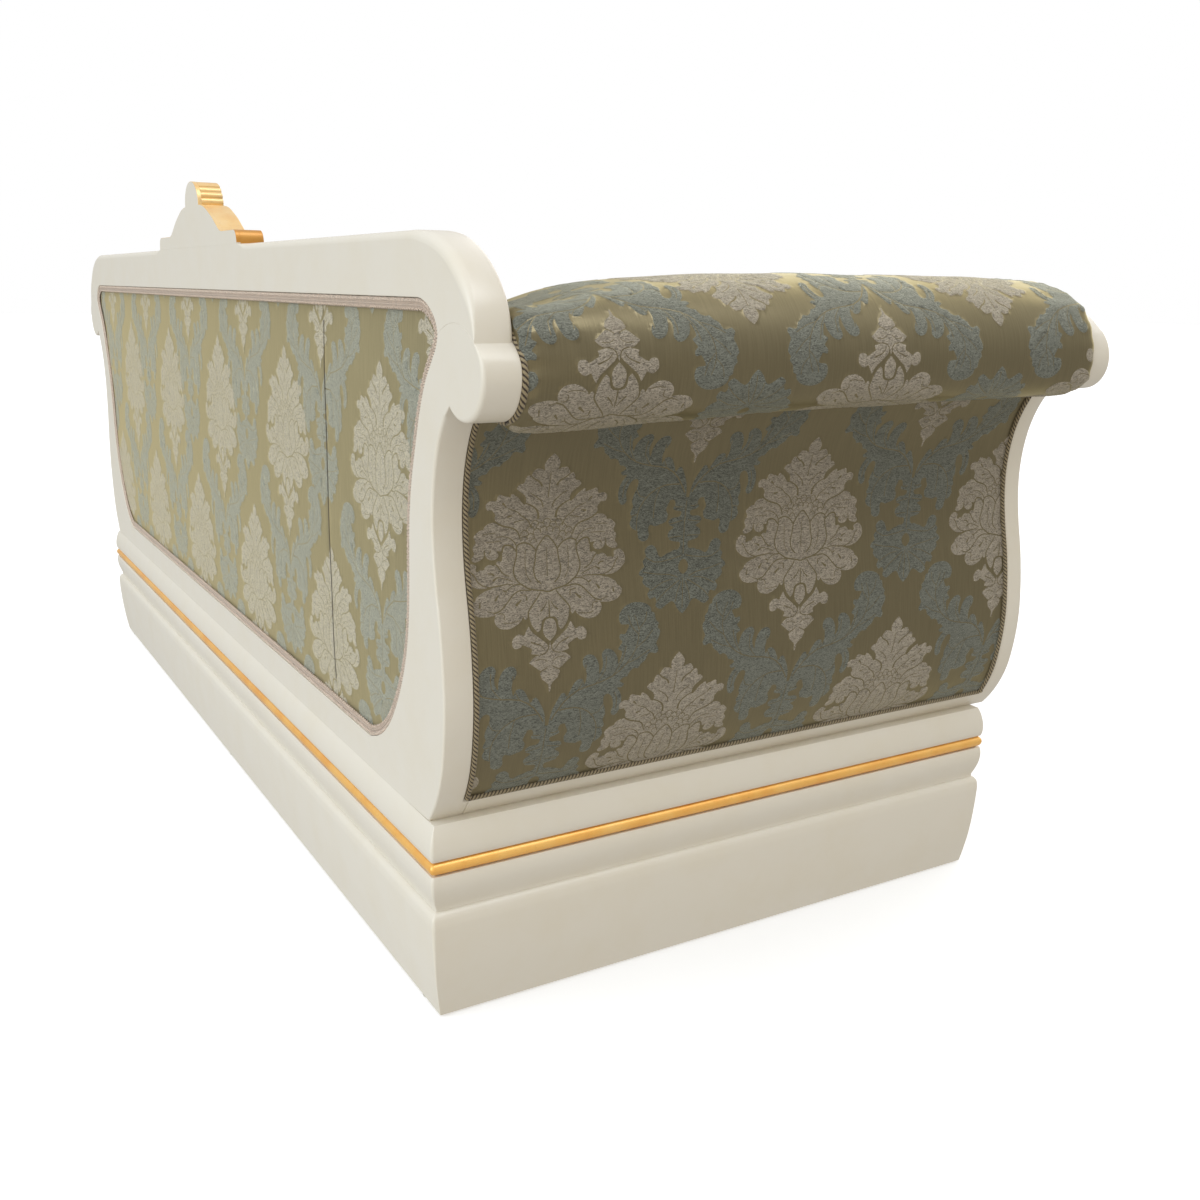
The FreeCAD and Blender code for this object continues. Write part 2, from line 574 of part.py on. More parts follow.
# the padding is drawn over the top edge to the face of the top rail
pf, pr, ph = S["backpad_front"], S["backpad_rear"], S["backpad_top"]
pl, pb = S["deck_low"] + S["deck_thick"] + 0.5, yb - 0.3
k = 1 - math.sqrt(0.5)
pad_seg = (
    chain((pr, pl), (pf + 18, pl))
    + [("A", (pf + 18, pl), (pf + 18 * k, pl + 18 * k), (pf, pl + 18))]
    + chain((pf, pl + 18), (pf, ph - 24))
    + [("A", (pf, ph - 24), (pf + 24 * k, ph - 24 * k), (pf + 24, ph))]
    + chain((pf + 24, ph), (pb, ph), (pb, ph - 20), (pr, ph - 20), (pr, pl))
)
padded("inside_back_pad", "YZ_Plane", pad_seg, "-(Sizes.pad_inner - 3)", "2*(Sizes.pad_inner - 3)")

# ---------------------------------------------------------------- crest on the top rail: ivory board behind, gilded part in front
rh = S["rail_high"]
CREST_TOP = [(0.0, 966.0), (18.0, 963.5), (33.0, 955.0), (42.0, 943.0), (45.0, 929.0)]
CREST_SIDE = [(49.0, 929.0), (77.0, 925.0), (104.0, 916.0), (128.0, 906.0), (148.0, 895.5), (163.0, 888.5), (180.0, 886.0)]
CREST_END = [(246.0, 886.0), (254.0, 882.5), (258.0, 875.5), (259.0, rh)]
half = (
    curve(CREST_TOP, t0=(1, 0), t1=(0.1, -1)) + chain((45.0, 929.0), CREST_SIDE[0]) + curve(CREST_SIDE, t1=(1, 0))
    + chain(CREST_SIDE[-1], CREST_END[0]) + curve(CREST_END, t0=(1, 0), t1=(0, -1))
)
crest = half + flip(half) + chain((259.0, rh), (-259.0, rh))
padded("crest_board", "XZ_Plane", crest, back_at, "Sizes.crest_board")
carving = padded("crest_carving", "XZ_Plane", crest, "-(Sizes.back_face - Sizes.crest_board)", "Sizes.crest_carved")
pocket(carving, circle_sketch(carving, "XY_Plane", [(x, dowel_y) for x in dowel_x], S["dowel_radius"] + 0.05, "Sizes.rail_high"), "Sizes.dowel_reach + 1", back=True)
pins = [Part.makeCylinder(S["dowel_radius"], 2 * S["dowel_reach"], V(x, dowel_y, rh - S["dowel_reach"])) for x in dowel_x]
solid("crest_dowels", Part.makeCompound(pins))

# ---------------------------------------------------------------- arms: outside panel, roll, cords, inside padding
cr = S["cord_radius"]
pi_ = S["panel_inset"]
run = OUTER[1:-2]
face_pts = inset(run, pi_)
rear_pts = inset(run, pi_ + S["panel_thick"])
zlow = st + 2 * cr + 0.8
face_pts = [(face_pts[0][0] + 3.6, zlow)] + face_pts[1:]
rear_pts = [(rear_pts[0][0] + 0.6, zlow)] + rear_pts[1:]
panel_seg = curve(face_pts) + chain(face_pts[-1], rear_pts[-1]) + curve(rear_pts[::-1]) + chain(rear_pts[0], face_pts[0])
end_gap = 2 * cr + 0.5
pan_at = "-(Sizes.back_face - Sizes.board_back + Sizes.rebate_back - 2*Sizes.cord_radius - 0.5)"
pan_len = "Sizes.front_face - Sizes.board_front + Sizes.rebate_front + Sizes.back_face - Sizes.board_back + Sizes.rebate_back - 4*Sizes.cord_radius - 1"
roll_at = "-(Sizes.back_face - Sizes.board_back - 2*Sizes.cord_radius - 0.5)"
roll_len = "Sizes.front_face - Sizes.board_front + Sizes.back_face - Sizes.board_back - 4*Sizes.cord_radius - 1"
padded("outside_arm_panel_left", "XZ_Plane", panel_seg, pan_at, pan_len)
padded("outside_arm_panel_right", "XZ_Plane", flip(panel_seg), pan_at, pan_len)

pin = S["pad_inner"] + 1.0
ROLL = [(pin, 792.0), (843.0, 812.0), (862.0, 824.5), (900.0, 829.5), (955.0, 831.0), (1003.0, 828.0), (1038.0, 815.0), (1063.0, 791.0),
        (1078.0, 761.0), (1081.0, 735.0), (1077.0, 711.0), (1065.0, 691.5), (1047.0, 680.5), (1029.0, 679.5), (1013.0, 686.0), (1003.0, 695.0)]
roll_seg = curve(ROLL, t0=(0, 1)) + chain((1003.0, 695.0), (934.0, 716.0), (934.0, 758.0), (pin, 758.0), (pin, 792.0))
padded("arm_roll_left", "XZ_Plane", roll_seg, roll_at, roll_len)
padded("arm_roll_right", "XZ_Plane", flip(roll_seg), roll_at, roll_len)
bar = block(872.0, 932.0, yf, yb, 700.0, 757.5)
solid("arm_top_rails", Part.makeCompound([bar, mirror_x(bar)]))

cord_in = 1.5
cpts = inset(OUTER[1:-2], cord_in)
cpts = [(cpts[0][0] + 4.0, st + 2 * cr + 0.6)] + cpts[1:]
RING = [(1054.0, 788.0), (1066.0, 771.0), (1075.0, 752.0), (1077.5, 731.0), (1073.5, 713.0), (1062.5, 697.5), (1047.5, 688.0), (1031.0, 685.0)]


def tube(segs, y):
    es = edges(segs, lambda p: V(p[0], y, p[1]))
    w = Part.Wire(es)
    p0, p1 = es[0].valueAt(es[0].FirstParameter), None
    t = es[0].tangentAt(es[0].FirstParameter)
    first = V(segs[0][1][0], y, segs[0][1][1])
    if first.distanceToPoint(p0) > 1e-6:
        t = es[0].tangentAt(es[0].LastParameter).negative()
    prof = Part.Wire(Part.Circle(first, t, cr).toShape())
    sol = w.makePipeShell([prof], True, True)
    want = math.pi * cr ** 2 * w.Length
    if abs(sol.Volume / want - 1) > 0.02:
        raise RuntimeError("cord volume")
    return sol


yr, yq = yb + S["rebate_back"] - cr - 0.2, yf - S["rebate_front"] + cr + 0.2
x_low = cpts[0][0] - 2.4
cords = [tube(curve(cpts), yr), tube(curve(cpts), yq), tube(curve(RING), yb - cr - 0.2), tube(curve(RING), yf + cr + 0.2)]
cords.append(Part.makeCylinder(cr, yr - yq, V(x_low, yq, st + cr + 0.2), V(0, 1, 0)))
solid("arm_cord_left", Part.makeCompound(cords))
solid("arm_cord_right", Part.makeCompound([mirror_x(c) for c in cords]))

for name, x in (("inside_arm_pad_left", "Sizes.pad_inner"), ("inside_arm_pad_right", "-Sizes.pad_outer")):
    blank = box(name + "_blank", x, "-(Sizes.front_face - Sizes.board_front) + 0.4", "Sizes.rail_top + 3",
                "Sizes.pad_outer - Sizes.pad_inner", arm_len + " - 0.8", "757.4 - Sizes.rail_top - 3", label=False)
    keep(rounded(name, blank, 6.0), name)

# ---------------------------------------------------------------- loose cushions
step = "(Sizes.cushion_wide + 2*Sizes.cushion_gap)"
for k, side in ((1, "left"), (0, "centre"), (-1, "right")):
    x = "%d*%s - Sizes.cushion_wide/2" % (k, step)
    outer = box("seat_blank_" + side, x, "-Sizes.seat_front", "Sizes.cushion_floor", "Sizes.cushion_wide",
                "Sizes.seat_front + Sizes.seat_rear", "Sizes.seat_thick", label=False)
    shell = rounded("seat_shell_" + side, outer, S["seat_round"])
    void = box("seat_void_" + side, x + " + Sizes.cover_wall", "-Sizes.seat_front + Sizes.cover_wall", "Sizes.cushion_floor + Sizes.cover_wall",
               "Sizes.cushion_wide - 2*Sizes.cover_wall", "Sizes.seat_front + Sizes.seat_rear - 2*Sizes.cover_wall", "Sizes.seat_thick - 2*Sizes.cover_wall", label=False)
    hollow = rounded("seat_hollow_" + side, void, S["seat_round"] - S["cover_wall"])
    cut("seat_cushion_" + side, shell, [hollow])
    gap = "(Sizes.cover_wall + Sizes.core_gap)"
    foam = box("seat_foam_" + side, x + " + " + gap, "-Sizes.seat_front + " + gap, "Sizes.cushion_floor + " + gap,
               "Sizes.cushion_wide - 2*" + gap, "Sizes.seat_front + Sizes.seat_rear - 2*" + gap, "Sizes.seat_thick - 2*" + gap, label=False)
    keep(rounded("seat_core_" + side, foam, S["seat_round"] - S["cover_wall"] - S["core_gap"]), "seat_core_" + side)
    rest = box("rest_blank_" + side, x, "Sizes.rest_front", "Sizes.cushion_floor", "Sizes.cushion_wide",
               "Sizes.rest_rear - Sizes.rest_front", "Sizes.rest_tall", label=False)
    keep(rounded("back_cushion_" + side, rest, S["rest_round"]), "back_cushion_" + side)

# ---------------------------------------------------------------- checks, then the files
doc.recompute()
bad = [o.Name for o in doc.Objects if "Invalid" in o.State or "Error" in o.State]
if bad:
    raise RuntimeError("failed objects: %s" % bad)
for o in NODES:
    s = o.Shape
    if s.isNull() or not s.isValid() or not s.Solids:
        raise RuntimeError("bad shape: " + o.Label)
os.makedirs("parts", exist_ok=True)
for o in NODES:
    o.Shape.exportStep("parts/%s.step" % o.Label)
print(len(NODES), "nodes written")
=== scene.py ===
import bpy, json, math
import numpy as np
from mathutils import Matrix, Vector
from mathutils.geometry import delaunay_2d_cdt

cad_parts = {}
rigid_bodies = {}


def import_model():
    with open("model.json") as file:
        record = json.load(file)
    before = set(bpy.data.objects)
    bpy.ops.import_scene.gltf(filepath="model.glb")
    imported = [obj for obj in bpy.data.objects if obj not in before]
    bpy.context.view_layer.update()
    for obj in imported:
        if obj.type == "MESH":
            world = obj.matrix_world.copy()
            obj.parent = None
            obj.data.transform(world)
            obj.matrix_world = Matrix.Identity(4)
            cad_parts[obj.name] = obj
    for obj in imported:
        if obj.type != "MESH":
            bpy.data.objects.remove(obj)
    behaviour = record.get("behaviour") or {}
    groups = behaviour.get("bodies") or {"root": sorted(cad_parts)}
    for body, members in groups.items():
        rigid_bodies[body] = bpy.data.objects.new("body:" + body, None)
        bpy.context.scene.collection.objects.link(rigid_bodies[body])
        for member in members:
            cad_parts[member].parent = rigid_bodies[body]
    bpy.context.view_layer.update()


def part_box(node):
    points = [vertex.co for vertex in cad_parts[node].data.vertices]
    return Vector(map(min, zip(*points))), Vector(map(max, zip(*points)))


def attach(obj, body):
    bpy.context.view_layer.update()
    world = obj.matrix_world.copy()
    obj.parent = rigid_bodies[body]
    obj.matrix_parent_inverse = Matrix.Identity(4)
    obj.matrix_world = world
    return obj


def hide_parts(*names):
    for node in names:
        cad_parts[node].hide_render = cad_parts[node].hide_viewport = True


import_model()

# Classical three-seater sofa.  Outlines below are in millimetres, in the same frame as the parts:
# X along the length, the front faces -Y, the back +Y, Z up.  Meshes are written in metres.
scene = bpy.context.scene
MM = 0.001

# ------------------------------------------------------------------ outlines
OUTER = [(927, 240), (944.5, 262), (963, 298.5), (973, 343), (976.5, 385), (974, 430), (968, 474), (960.5, 511), (955.5, 545),
         (954, 579), (957, 611), (965, 643), (978, 671), (990, 688), (1003, 700)]
SCROLL = [(1003, 700), (1015, 691), (1031, 687), (1048, 689), (1064, 698), (1075, 713), (1079, 731), (1076, 746), (1069, 755.5), (1061, 762)]
SHOULDER = [(1061, 762), (1057.5, 783), (1050, 801), (1037, 818), (1017, 835.5), (991, 850.5), (960, 861), (930, 865.2), (900, 866)]
CORNER = [(928, 801), (947, 797), (962, 789), (973, 778), (977, 767)]
WAIST = [(977, 767), (973, 756), (962, 742), (944, 720), (929, 692), (914, 652), (901, 613), (893, 572), (890, 535), (888, 498),
         (884, 460), (876, 424), (861, 386), (839, 348), (815, 318), (784, 295), (748, 281.5)]
JOINT = [(1061, 762), (1041, 773.5), (1019, 779), (997, 776), (977, 767)]
FSCROLL = [(1003, 700), (1015, 696.5), (1030, 695.5), (1045, 696.7), (1054, 698.8), (1062.5, 703.5), (1069, 710), (1075, 721.5),
           (1076.8, 733.5), (1075.5, 745), (1070.5, 757.5), (1062.6, 768)]
FTOP = [(1062.6, 768), (1052.5, 777), (1037, 788), (1012, 801), (975, 812)]
ROLL = [(837, 758), (837, 792), (843, 812), (862, 824.5), (900, 829.5), (955, 831), (1003, 828), (1038, 815), (1063, 791), (1078, 761),
        (1081, 735), (1077, 711), (1065, 691.5), (1049, 681), (1033, 677.5), (1018, 682), (1003, 695)]
RING = [(1036, 787), (1046, 778.5), (1058.5, 766), (1070.8, 750.5), (1076.6, 731), (1073.2, 713), (1062, 698.3), (1047.5, 689.6), (1031, 687), (1018, 690)]
FRING = [(1037, 792), (1051, 781), (1061.5, 766), (1068.5, 750), (1070.5, 731), (1067, 714.5), (1057.5, 701.5), (1045, 693.5), (1031, 691), (1020, 693)]
OVER = [(838.6, 771), (839.6, 784), (847, 801.5), (861.5, 811.8), (880, 815.8), (928, 816.2), (975, 815.6), (1012, 804.8)]
CREST_TOP = [(0, 966), (18, 963.5), (33, 955), (42, 943), (45, 929)]
CREST_SIDE = [(49, 929), (77, 925), (104, 916), (128, 906), (148, 895.5), (163, 888.5), (180, 886)]
CREST_END = [(246, 886), (254, 882.5), (258, 875.5), (259, 866)]
PLINTH = [(-13, 3), (-6.4, 45), (-2.2, 88), (-1, 110), (-1, 124), (-2.4, 130.5), (-8, 136)]
MOULD_LOW = [(-8.5, 136), (-8.5, 140), (-6, 146.5), (-3.2, 154), (-1.2, 162), (-0.5, 170), (-1, 177), (-2.4, 181.5)]
MOULD_TOP = [(-2.4, 199), (-0.8, 203), (-0.2, 209.5), (-0.6, 216.5), (-1.8, 223.5), (-4.2, 231.5), (-8, 240)]
HALF_L, HALF_D, BASE_Y = 950.5, 425.0, 9.5


def tangents(pts):
    """Tangent at each point: that of the circle through it and its neighbours."""
    out, n = [], len(pts)
    for i in range(n):
        j = min(max(i, 1), n - 2)
        a, b, c = (np.array(pts[k], float) for k in (j - 1, j, j + 1))
        d1, d2 = b - a, c - b
        l1, l2 = np.hypot(*d1), np.hypot(*d2)
        u1, u2 = d1 / l1, d2 / l2
        m = u1 * l2 + u2 * l1
        m /= np.hypot(*m)
        if i == 0:
            m = 2 * (m @ u1) * u1 - m
        if i == n - 1:
            m = 2 * (m @ u2) * u2 - m
        out.append(m)
    return np.array(out)


def smooth_run(pts, n=6, t0=None, t1=None):
    """Points on a smooth curve through pts, n to each span."""
    P, T = np.array(pts, float), tangents(pts)
    if t0:
        T[0] = np.array(t0) / np.hypot(*t0)
    if t1:
        T[-1] = np.array(t1) / np.hypot(*t1)
    k = np.linspace(0, 1, n, endpoint=False)[:, None]
    out = []
    for i in range(len(P) - 1):
        L = np.hypot(*(P[i + 1] - P[i]))
        out.append((2 * k ** 3 - 3 * k ** 2 + 1) * P[i] + (k ** 3 - 2 * k ** 2 + k) * L * T[i]
                   + (3 * k ** 2 - 2 * k ** 3) * P[i + 1] + (k ** 3 - k ** 2) * L * T[i + 1])
    return np.vstack(out + [P[-1:]])


def lengths(P):
    return np.r_[0, np.cumsum(np.sqrt((np.diff(P, axis=0) ** 2).sum(1)))]


def resample(P, step):
    """The same run with even spacing."""
    L = lengths(P)
    s = np.linspace(0, L[-1], max(2, int(round(L[-1] / step)) + 1))
    return np.stack([np.interp(s, L, P[:, i]) for i in range(P.shape[1])], 1)


class Run:
    """A curve looked up by length: point and left-hand normal."""

    def __init__(self, P):
        self.P, self.L = P, lengths(P)
        t = np.gradient(P, axis=0)
        t /= np.hypot(t[:, 0], t[:, 1])[:, None]
        self.N = np.stack([-t[:, 1], t[:, 0]], 1)
        self.total = self.L[-1]

    def at(self, s):
        return np.stack([np.interp(s, self.L, self.P[:, i]) for i in (0, 1)], -1)

    def normal(self, s):
        n = np.stack([np.interp(s, self.L, self.N[:, i]) for i in (0, 1)], -1)
        return n / np.linalg.norm(n, axis=-1, keepdims=True)


def inside(P, poly, chunk=3000):
    """Even-odd test of many points against one closed outline."""
    x0, y0 = poly[:, 0], poly[:, 1]
    x1, y1 = np.roll(x0, -1), np.roll(y0, -1)
    dy = np.where(np.abs(y1 - y0) < 1e-12, 1e-12, y1 - y0)
    out = np.zeros(len(P), bool)
    for i in range(0, len(P), chunk):
        x, y = P[i:i + chunk, 0][:, None], P[i:i + chunk, 1][:, None]
        c = ((y0 > y) != (y1 > y)) & (x < (x1 - x0) * (y - y0) / dy + x0)
        out[i:i + chunk] = np.logical_xor.reduce(c, axis=1)
    return out


def ease(x, a, b):
    k = np.clip((x - a) / (b - a), 0, 1)
    return k * k * (3 - 2 * k)


def ripple(a, b, seed, size=120.0):
    """Slow smooth unevenness, about -1 to 1."""
    r = np.random.RandomState(seed)
    out = 0
    for i in range(5):
        k = r.uniform(0.6, 1.5) * 2 * math.pi / size
        th, ph = r.uniform(0, math.pi), r.uniform(0, 6.28)
        out = out + np.sin((a * math.cos(th) + b * math.sin(th)) * k + ph)
    return out / 3.2


# ------------------------------------------------------------------ mesh building
class Mesh:
    """Collects faces of any size, with a material index, a bake layout and cloth coordinates, into one mesh."""

    def __init__(self):
        self.v, self.loops, self.counts, self.mat, self.uv, self.cloth, self.flat = [], [], [], [], [], [], []
        self.n = 0

    def add(self, V, F, mat=0, uv=None, cloth=None, flat=False):
        V, F = np.asarray(V, float), np.asarray(F, int)
        self.v.append(V)
        self.loops.append((F + self.n).ravel())
        self.counts.append(np.full(len(F), F.shape[1]))
        self.mat.append(np.broadcast_to(mat, (len(F),)).astype(int))
        self.flat.append(np.full(len(F), flat))
        z = np.zeros((len(V), 2))
        self.uv.append((z if uv is None else np.asarray(uv, float))[F.ravel()])
        self.cloth.append((z if cloth is None else np.asarray(cloth, float))[F.ravel()])
        self.n += len(V)
        return self

    def build(self, name, mats, sharp=None, body="frame", replaces=(), slot=None, bake=False):
        me = bpy.data.meshes.new(name)
        V = np.vstack(self.v) * MM
        loops, counts = np.concatenate(self.loops), np.concatenate(self.counts)
        me.vertices.add(len(V))
        me.vertices.foreach_set("co", V.astype(np.float32).ravel())
        me.loops.add(len(loops))
        me.loops.foreach_set("vertex_index", loops.astype(np.int32))
        me.polygons.add(len(counts))
        me.polygons.foreach_set("loop_start", np.r_[0, np.cumsum(counts)[:-1]].astype(np.int32))
        me.polygons.foreach_set("material_index", np.concatenate(self.mat).astype(np.int32))
        me.polygons.foreach_set("use_smooth", ~np.concatenate(self.flat))
        me.update(calc_edges=True)
        layers = (["OFBake"] if bake else []) + ["cloth"]
        for layer in layers:
            u = me.uv_layers.new(name=layer)
            src = np.vstack(self.uv if layer == "OFBake" else self.cloth)
            u.uv.foreach_set("vector", src.astype(np.float32).ravel())
        for m in mats:
            me.materials.append(m)
        if sharp:
            me.set_sharp_from_angle(angle=math.radians(sharp))
            me.polygons.foreach_set("use_smooth", ~np.concatenate(self.flat))
        me.validate()
        ob = bpy.data.objects.new(name, me)
        scene.collection.objects.link(ob)
        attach(ob, body)
        if replaces:
            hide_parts(*replaces)
        return ob


def band(rows, cols, wrap_r=False, wrap_c=False):
    """Quads of a grid of rows x cols vertices."""
    r = np.arange(rows if wrap_r else rows - 1)
    c = np.arange(cols if wrap_c else cols - 1)
    R, C = np.meshgrid(r, c, indexing="ij")
    R2, C2 = (R + 1) % rows, (C + 1) % cols
    return np.stack([R * cols + C, R * cols + C2, R2 * cols + C2, R2 * cols + C], -1).reshape(-1, 4)


def outward(P):
    """Outward mitred normals of a closed outline (turned to run anticlockwise first)."""
    x, y = P[:, 0], P[:, 1]
    if (x * np.roll(y, -1) - np.roll(x, -1) * y).sum() < 0:
        P = P[::-1]
    e1, e2 = P - np.roll(P, 1, 0), np.roll(P, -1, 0) - P
    e1 /= np.maximum(np.linalg.norm(e1, axis=1), 1e-9)[:, None]
    e2 /= np.maximum(np.linalg.norm(e2, axis=1), 1e-9)[:, None]
    n1, n2 = np.stack([e1[:, 1], -e1[:, 0]], 1), np.stack([e2[:, 1], -e2[:, 0]], 1)
    n = n1 + n2
    n /= np.maximum(np.linalg.norm(n, axis=1), 1e-6)[:, None]
    return P, n / np.clip((n * n1).sum(1), 0.45, 1)[:, None]


def closed(parts):
    """Join runs into a closed outline with a value per point, dropping doubled points."""
    P, W = [], []
    for pts, w in parts:
        pts = np.asarray(pts, float)
        for i, p in enumerate(pts):
            if P and np.hypot(*(P[-1] - p)) < 0.02:
                continue
            P.append(p)
            W.append(w[i] if np.ndim(w) else w)
    if np.hypot(*(P[0] - P[-1])) < 0.02:
        P.pop()
        W.pop()
    return np.array(P), np.array(W, float)


def board(P, y0, y1, r0, r1, mesh=None, mat=0, seg=5, cut=None, rim=None, front=True):
    """Closed outline (X, Z) as a board from y0 to y1 with edges rounded by r0 at y0 and r1 at y1 (per point).
    cut = (depth per point, y): a rebate of that depth from y0 to y."""
    area = (P[:, 0] * np.roll(P[:, 1], -1) - np.roll(P[:, 0], -1) * P[:, 1]).sum()
    if area < 0:
        P = P[::-1]
        r0, r1 = (np.broadcast_to(r, (len(P),))[::-1] for r in (r0, r1))
        cut = (cut[0][::-1], cut[1]) if cut else None
    P, n = outward(P)
    r0, r1 = np.broadcast_to(r0, (len(P),)), np.broadcast_to(r1, (len(P),))
    rows = []
    reb = cut[0] if cut else np.zeros(len(P))
    deep = reb > 0.01
    for a in np.linspace(0, math.pi / 2, seg):
        rows.append((y0 + r0 * (1 - math.cos(a)), np.where(deep, reb + 0.5, r0 * (1 - math.sin(a)))))
    if cut:
        rows.append((np.where(deep, cut[1] - 0.2, np.maximum(cut[1] - 0.2, y0 + r0)), np.where(deep, reb + 0.5, 0)))
        for a in np.linspace(0, math.pi / 2, 4):
            rows.append((np.where(deep, cut[1] + 1.4 * (1 - math.cos(a)), np.maximum(cut[1] + 1.4 * (1 - math.cos(a)), y0 + r0)),
                         np.where(deep, 1.4 * (1 - math.sin(a)), 0)))
    for a in np.linspace(math.pi / 2, 0, seg + 2):
        rows.append((y1 - r1 * (1 - math.cos(a)), r1 * (1 - math.sin(a))))
    V = []
    for y, off in rows:
        Q = P - n * np.asarray(off)[:, None]
        V.append(np.stack([Q[:, 0], np.broadcast_to(y, (len(P),)), Q[:, 1]], 1))
    V = np.vstack(V)
    N = len(P)
    m = mesh or Mesh()
    F = band(len(rows), N, wrap_c=True)
    m.add(V, F, mat if rim is None else np.tile(rim, len(rows) - 1))
    for ring, back in ((V[:N], False), (V[-N:], True))[0 if front else 1:]:
        B, T = fill(ring[:, [0, 2]])
        m.add(np.stack([B[:, 0], np.full(len(B), ring[:, 1].mean()), B[:, 1]], 1), T[:, ::-1] if back else T, mat, flat=True)
    return m


def fill(Q, more=None):
    """Triangles, anticlockwise, of the inside of a closed outline, with more points inside it if given."""
    n = len(Q)
    A = Q if more is None else np.vstack([Q, more])
    res = delaunay_2d_cdt([Vector(q) for q in A.tolist()], [(i, (i + 1) % n) for i in range(n)], [], 0, 1e-6)
    B = np.array([(v.x, v.y) for v in res[0]])
    T = np.array([f for f in res[2] if len(f) == 3], int)
    T = T[inside(B[T].mean(1), Q)]
    a, b, c = B[T[:, 0]], B[T[:, 1]], B[T[:, 2]]
    cw = (b[:, 0] - a[:, 0]) * (c[:, 1] - a[:, 1]) - (c[:, 0] - a[:, 0]) * (b[:, 1] - a[:, 1]) < 0
    T[cw] = T[cw][:, ::-1]
    return B, T


def mirror(m):
    """The same mesh on the other side of X = 0."""
    o = Mesh()
    o.n = m.n
    o.v = [v * np.array([-1, 1, 1]) for v in m.v]
    o.counts, o.mat, o.flat = list(m.counts), list(m.mat), list(m.flat)
    for src, dst in ((m.loops, o.loops), (m.uv, o.uv), (m.cloth, o.cloth)):
        for block, cnt in zip(src, m.counts):
            k = cnt[0]
            b = block.reshape((-1, k) + block.shape[1:])[:, ::-1]
            dst.append(b.reshape(block.shape))
    return o



# ------------------------------------------------------------------ the woven pattern
# one damask repeat: h across, s up, millimetres; the medallion's top tip is at s = 389.5
LEAN = [(128, 0.0), (190, -0.5), (212, -1.1), (232, -1.0), (270, 1.0), (300, 2.3), (345, 4.0), (367, 2.6), (390, 0.2)]
BODY = [
    (0.2, 389.5), (4.7, 386), (8.5, 382), (10.6, 378.5), (10.9, 374.5), (10.1, 370.6), (13.5, 372.3), (16.7, 372.9), (20.2, 373.1), (23, 370.9),
    (25.2, 367.9), (26.7, 365.8), (29.7, 366.2), (31.3, 364.8), (33, 362), (33.5, 359.2), (35.4, 357.4), (38, 357.2), (40.8, 355.3), (42.4, 352.8),
    (41.3, 351.4), (38, 348.7), (34.1, 345.9), (31.3, 342.6), (30.1, 338.5), (30.8, 334.6), (33.6, 335.6), (36.9, 339.2), (40.2, 342.8), (44.1, 345.3),
    (46.9, 347), (48.9, 346.4), (49.4, 343.7), (53.6, 344.8), (57.4, 345.7), (61.3, 347.2), (64.1, 345.9), (64.9, 342.6), (66.2, 340.5), (70.2, 341.4),
    (74.1, 340.6), (76.7, 338.1), (76.9, 335.3), (75.6, 332.2), (73.6, 331.3), (69.7, 331.4), (67.4, 329.2), (64.8, 325.9), (65.6, 323.1), (64.7, 320.2),
    (64.9, 318.2), (69.1, 317.9), (73, 317), (76.7, 314.2), (77.6, 311.4), (81.9, 310.9), (85.8, 308.1), (88.6, 304.8), (86.9, 301.4), (85.8, 298.1),
    (88.6, 294.8), (88.9, 291.4), (86.9, 287), (89.1, 283.7), (90.2, 280.9), (88, 278.7), (84.7, 278.4), (80.2, 279.8), (76.9, 282), (75.3, 285.2),
    (74, 284), (72.4, 281.4), (69.1, 279.2), (64.7, 278.7), (60.8, 280.3), (59.1, 283.1), (59.9, 285.6), (61.2, 288), (58.2, 287.4), (55.6, 287.2),
    (54.8, 284), (54.6, 279), (56, 276.3), (59.1, 277.2), (62.2, 275.2), (64, 273), (67, 273.6), (70.2, 274.3), (74.1, 272.6), (76.2, 269.4),
    (80.2, 269.4), (83.6, 268), (85.2, 270.6), (84.4, 273.7), (86.9, 275.9), (91.9, 277.1), (95.8, 274.8), (98.2, 270.9), (98.9, 266.4), (98, 261.4),
    (95.4, 258.4), (91.3, 254.8), (86.9, 252.2), (80.2, 250.2), (73.6, 250), (67, 249), (70.5, 248), (76, 246.4), (81.4, 243.7), (84.7, 240.9),
    (85.6, 238), (88.6, 235.9), (90.9, 233.1), (91, 229.2), (88.6, 225.3), (84.7, 222), (79.1, 220.3), (72.4, 219.7), (65.8, 220.3), (62.6, 220.8),
    (63.6, 218.8), (64.3, 216), (63.9, 212.6), (61.3, 208.1), (56.9, 205.3), (50.2, 204), (44.7, 204.8), (39.1, 207), (34.7, 209.8), (31.9, 213.1),
    (30.8, 215.4), (29.1, 212.6), (26.9, 212), (25.4, 214.2), (23.6, 216), (23, 213.1), (21.3, 206.4), (18, 200.9), (14.9, 197.4), (13.6, 196.6),
    (10.6, 199), (9.6, 202), (8.9, 206.4), (6.9, 209.8), (3.6, 211.4), (-1.1, 212.0),
]
DROP = [(-0.9, 209.9), (3.4, 208.9), (5.9, 205.5), (7.4, 199.8), (7.4, 195.3), (5.8, 191.4), (2.7, 188.1), (-0.4, 185.3)]
